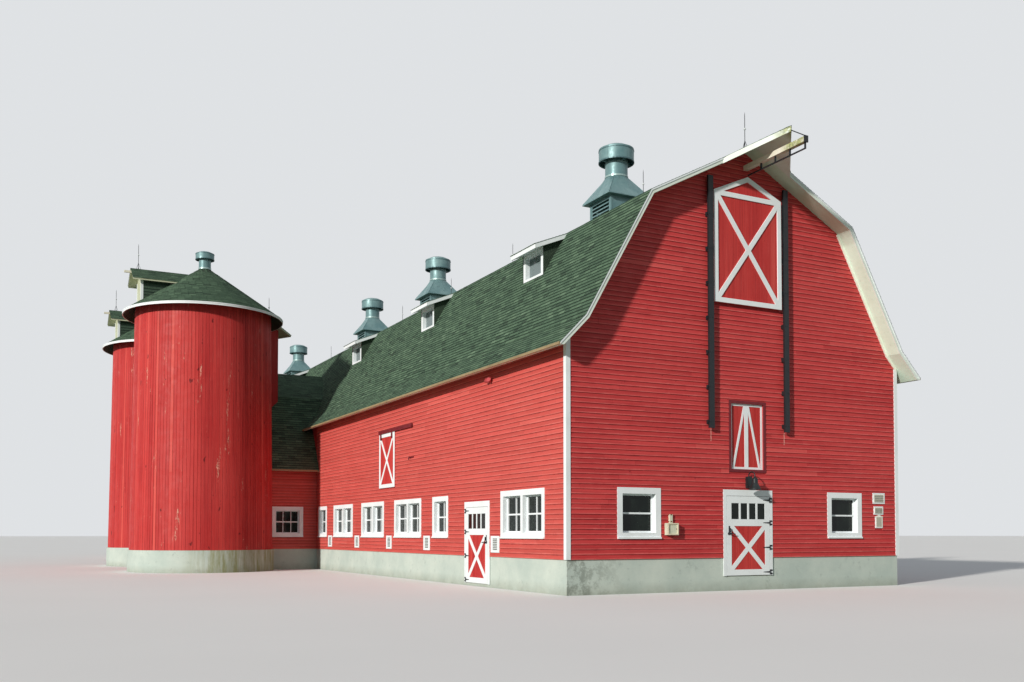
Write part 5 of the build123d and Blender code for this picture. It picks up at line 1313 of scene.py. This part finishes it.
straps.make("meter_pipe_straps", rust, "galvanised_grey")

# Moulding on the rake boards, front and rear; the front one starts beside the hood
MOULDING = 0.02
MOULDING_OUT = 0.009
SUNK = 0.001
moulding = Pile()
under_moulding = lowered(MAIN, MOULDING)
for end in BOTH:
    for side in BOTH:
        for i in range(3):
            quad = [MAIN[i], MAIN[i + 1], under_moulding[i + 1], under_moulding[i]]
            if end < 0 and i == 0:
                quad[0] = (HOOD_HALF, height_at(MAIN, HOOD_HALF))
                quad[3] = (HOOD_HALF, height_at(under_moulding, HOOD_HALF))
            corners = [(side * x, end * (RAKE - SUNK), z - SUNK) for x, z in quad]
            if side * end > 0:
                corners = corners[::-1]
            moulding.slab(corners, (0, end, 0), 0, MOULDING_OUT, 0.5)
moulding.make("rake_moulding", white, "trim_white")

# Frieze boards under the eaves' soffit, along the steep and the flared slopes of both gables
FRIEZE = 0.036
FRIEZE_OUT = 0.018
frieze = Pile()
under_frieze = lowered(MAIN, ROOF_T + FRIEZE)
for wall in (front, rear):
    for i in (1, 2):
        quad = [MAIN_UNDER[i], MAIN_UNDER[i + 1], under_frieze[i + 1], under_frieze[i]]
        if i == 2:
            quad[1:3] = [(HALF_W, height_at(line, HALF_W)) for line in (MAIN_UNDER, under_frieze)]
        for side in BOTH:
            corners = [wall.at(side * x, z) for x, z in quad]
            frieze.slab(corners[::-side], wall.out, BED, FRIEZE_OUT, 0.5)
frieze.make("gable_frieze", soffit_trim, "trim_white")

# Ridge vents and silo vents: bands, collars and seams
VENT_PLACES = [side * share * HALF_L for share in (0.7545, 0.1753) for side in BOTH]
VENT_BASE = 6.69
VENT_HOOD_TOP = 7.12
VENT_EAVE = 0.44
VENT_NECK = 0.2
VENT_CAP = 0.312
VENT_BOX = 0.335
BOX_CORNER = (VENT_BOX - 0.03, VENT_BOX + 0.007)
CAP_LOW = 7.395
CAP_BANDS = ((0, 0.024, 0.007), (0.205, 0.222, 0.006))
NECK_COLLARS = ((VENT_HOOD_TOP, VENT_HOOD_TOP + 0.03, 0.009), (CAP_LOW - 0.03, CAP_LOW - 0.018, 0.006))
SEAM_BARS = (0.0045, 0.007)
SILO_NECK = 0.132
SILO_CAP = 0.202
SILO_CAP_LOW = 6.975
SILO_CAP_BANDS = ((0, 0.018, 0.006), (0.125, 0.138, 0.005))
bands = Pile()
collars = Pile()
seams = Pile()
for y in VENT_PLACES:
    for low, high, proud in CAP_BANDS:
        bands.ring(0, y, VENT_CAP, CAP_LOW + low, CAP_LOW + high, proud)
    for low, high, proud in NECK_COLLARS:
        collars.ring(0, y, VENT_NECK, low, high, proud)
    for turn in range(8):
        c, s = math.cos(math.pi / 4 * turn), math.sin(math.pi / 4 * turn)
        reach = VENT_EAVE / max(abs(c), abs(s)) - 0.004
        foot = (reach * c, y + reach * s, VENT_BASE + 0.02)
        seams.tube([foot, (VENT_NECK * c, y + VENT_NECK * s, VENT_HOOD_TOP)], SEAM_BARS[turn % 2], 6)
    for sx in BOTH:
        for sy in BOTH:
            xs = sorted(sx * corner for corner in BOX_CORNER)
            ys = sorted(y + sy * corner for corner in BOX_CORNER)
            seams.box((xs[0], ys[0], height_at(MAIN, VENT_BOX) - 0.01), (xs[1], ys[1], VENT_BASE))
for side in BOTH:
    base = cone_height(SILO_NECK)
    collars.ring(SILO_X, side * SILO_Y, SILO_NECK, base + 0.004, base + 0.04, 0.008)
    for low, high, proud in SILO_CAP_BANDS:
        bands.ring(SILO_X, side * SILO_Y, SILO_CAP, SILO_CAP_LOW + low, SILO_CAP_LOW + high, proud)
bands.make("vent_bands", vent_dark, "galvanised_grey")
collars.make("vent_collars", vent_light, "galvanised_grey")
seams.make("vent_seams", vent_metal, "galvanised_grey")

# Lightning rods on the ridge, the silo dormers and the chutes: pointed tips, glazed balls and splayed feet
ROD_H = 0.5
CHUTE_ROD_H = 0.72
CHUTE_ROD = 1.885
DORMER_ROD = 1.41
ROD_TIP = ((0.005, 0), (0.003, 0.025), (0.0006, 0.055))
FOOT_REACH = 0.05
FOOT_TOP = 0.13
FOOT_R = 0.0035
BALL = 0.0175
BALL_DROP = 0.2
ridge = MAIN[0][1]
rods = [(0, side * share * HALF_L, ridge, ROD_H) for share in (0.2343, 0.4669, 0.8139, 1) for side in BOTH]
rods += [(0, 0, ridge, ROD_H)]
for side in BOTH:
    rods.append((SILO_X - DORMER_ROD, side * SILO_Y, DORMER_RIDGE, ROD_H))
    c, s = chute_way(side)
    rods.append((SILO_X + CHUTE_ROD * c, side * SILO_Y + CHUTE_ROD * s, chute_line(CHUTE_ROD), CHUTE_ROD_H))
tips = Pile()
balls = Pile()
turns = [math.pi * i / 8 for i in range(9)]
ball_profile = [(max(0.0006, BALL * math.sin(a)), -BALL * math.cos(a)) for a in turns]
for x, y, z, height in rods:
    tips.lathe((x, y, z + height - 0.002), (0, 0, 1), ROD_TIP, 8)
    for k in range(3):
        angle = math.pi / 2 + 2 * math.pi * k / 3
        c, s = math.cos(angle), math.sin(angle)
        foot = (x + FOOT_REACH * c, y + FOOT_REACH * s, z + 0.012 - 0.03 * abs(c))
        tips.tube([(x, y, z + FOOT_TOP), foot], FOOT_R, 5)
    balls.lathe((x, y, z + height - BALL_DROP), (0, 0, 1), ball_profile, 14)
tips.make("rod_tips_and_feet", black_steel, "steel_black")
balls.make("rod_balls", porcelain, "steel_black", smooth=True)

# Silo dormers: corner posts and clad cheeks; a drip edge round each silo eave
FACE_X = SILO_X - FACE
POST = 0.045
POST_OUT = 0.007
CHEEK_LOW = cone_height(FACE) - 0.03
CHEEK_TOP = DORMER_RIDGE - DORMER_FALL * DORMER_HALF - 0.045
CHEEK_LAP = (0.0065, 0.0015)
INTO_CONE = 0.01
MIN_LAP = 0.01
DRIP_R = 1.721
DRIP_LOW = SILO_EAVE - 0.022
DRIP_TOP = SILO_EAVE - 0.002
posts = Pile()
cheeks = Pile()
drip = Pile()


def cheek_back(z):
    """How far back a cheek runs, until the cone covers it."""
    r = CONE_R - (z - SILO_EAVE) / CONE_SLOPE
    return SILO_X - math.sqrt(max(0.01, r**2 - DORMER_HALF**2))


def cheek(middle, s):
    """The courses on one cheek, lapped like the siding."""
    y = middle + s * DORMER_HALF
    start = FACE_X + POST
    for i in range(math.ceil((CHEEK_TOP - CHEEK_LOW) / COURSE)):
        z0 = CHEEK_LOW + i * COURSE
        z1 = min(z0 + COURSE, CHEEK_TOP)
        if z1 - z0 < MIN_LAP:
            continue
        low_end = max(cheek_back(z0), start + 0.02) + INTO_CONE
        corners = [(start, y, z0), (low_end, y, z0), (cheek_back(z1) + INTO_CONE, y, z1), (start, y, z1)]
        laps = [CHEEK_LAP[0], CHEEK_LAP[0], CHEEK_LAP[1], CHEEK_LAP[1]]
        cheeks.slab(corners[::-s], (0, s, 0), BED, laps[::-s], None, [0.0, 0.0, 1.0, 1.0][::-s])


for side in BOTH:
    middle = side * SILO_Y
    for s in BOTH:
        ys = sorted((middle + s * (DORMER_HALF - POST), middle + s * (DORMER_HALF + POST_OUT)))
        posts.box((FACE_X - POST_OUT, ys[0], CHEEK_LOW), (FACE_X + POST, ys[1], CHEEK_TOP), 0.5)
        cheek(middle, s)
    drip.ring(SILO_X, middle, DRIP_R, DRIP_LOW, DRIP_TOP, 0.006, 128)
posts.make("silo_dormer_posts", white, "trim_white")
cheeks.make("silo_dormer_cladding", cheek_green, "shingle_green")
drip.make("silo_drip_edges", white, "trim_white")



# Floor: pale to the camera and in reflections, duller to the light that it throws back
def seen(tree):
    """1 for what the camera sees, directly, mirrored or through glass, and 0 for other light."""
    rays = tree.nodes.new("ShaderNodeLightPath").outputs
    factor = rays["Is Camera Ray"]
    for name in ("Is Glossy Ray", "Is Transmission Ray"):
        either = tree.nodes.new("ShaderNodeMath")
        either.operation = "MAXIMUM"
        tree.links.new(factor, either.inputs[0])
        tree.links.new(rays[name], either.inputs[1])
        factor = either.outputs[0]
    return factor


floor_paint = Paint("floor")
pale = floor_paint.mix(floor_paint.noise(0.3, 3, 0.5), (240, 240, 239), (246, 246, 245))
floor_paint.colour = floor_paint.mix(seen(floor_paint.tree), (128, 140, 122), pale)
floor_paint.finish(0.9, specular=0.1)
bpy.ops.mesh.primitive_plane_add(size=900, location=(0, 0, -0.001))
floor = bpy.context.object
floor.name = "floor"
floor.data.materials.append(floor_paint.mat)

# World: a sky that lights the barn, and a plain backdrop to the camera and in reflections
SKY = (0.86, 0.92, 1.0, 1)
SKY_STRENGTH = 0.3
BACKDROP = (0.74, 0.76, 0.78, 1)
world = bpy.data.worlds.new("studio")
scene.world = world
world.use_nodes = True
tree = world.node_tree
back = tree.nodes["Background"]
back.inputs["Color"].default_value = SKY
back.inputs["Strength"].default_value = SKY_STRENGTH
clear = tree.nodes.new("ShaderNodeBackground")
clear.inputs["Color"].default_value = BACKDROP
clear.inputs["Strength"].default_value = 1.0
blend = tree.nodes.new("ShaderNodeMixShader")
for output, socket in zip((seen(tree), back.outputs[0], clear.outputs[0]), blend.inputs):
    tree.links.new(output, socket)
tree.links.new(blend.outputs[0], tree.nodes["World Output"].inputs["Surface"])

# Sun, where the photograph's shadows put it
SUN = 3.6
SUN_COLOUR = (1.0, 0.955, 0.89)
SUN_WAY = (0.861, 0.421, -0.33)
sun_data = bpy.data.lights.new("key", "SUN")
sun_data.energy = SUN
sun_data.angle = math.radians(3)
sun_data.color = SUN_COLOUR
sun = bpy.data.objects.new("key", sun_data)
scene.collection.objects.link(sun)
sun.rotation_euler = Vector(SUN_WAY).to_track_quat("-Z", "Y").to_euler()

# The photograph's camera: its place, its aim and the rows by which the picture is shifted
FRAME_W = 1024
FRAME_H = 682
FOCAL = 1000.3
HORIZON_ROW = 500.65
CAMERA = (-9.70, -25.33, 0.806)
YAW = math.radians(27.24)
PITCH = math.radians(1.93)
cam_data = bpy.data.cameras.new("camera")
cam = bpy.data.objects.new("camera", cam_data)
scene.collection.objects.link(cam)
scene.camera = cam
cam_data.sensor_width = 36
cam_data.lens = FOCAL / FRAME_W * cam_data.sensor_width
cam_data.shift_y = (HORIZON_ROW - FRAME_H / 2) / FRAME_W
cam_data.clip_start = 0.05
cam_data.clip_end = 2000
cam.location = CAMERA
view = Vector((math.sin(YAW) * math.cos(PITCH), math.cos(YAW) * math.cos(PITCH), math.sin(PITCH)))
cam.rotation_mode = "QUATERNION"
cam.rotation_quaternion = view.to_track_quat("-Z", "Y")

scene.view_settings.view_transform = "Standard"
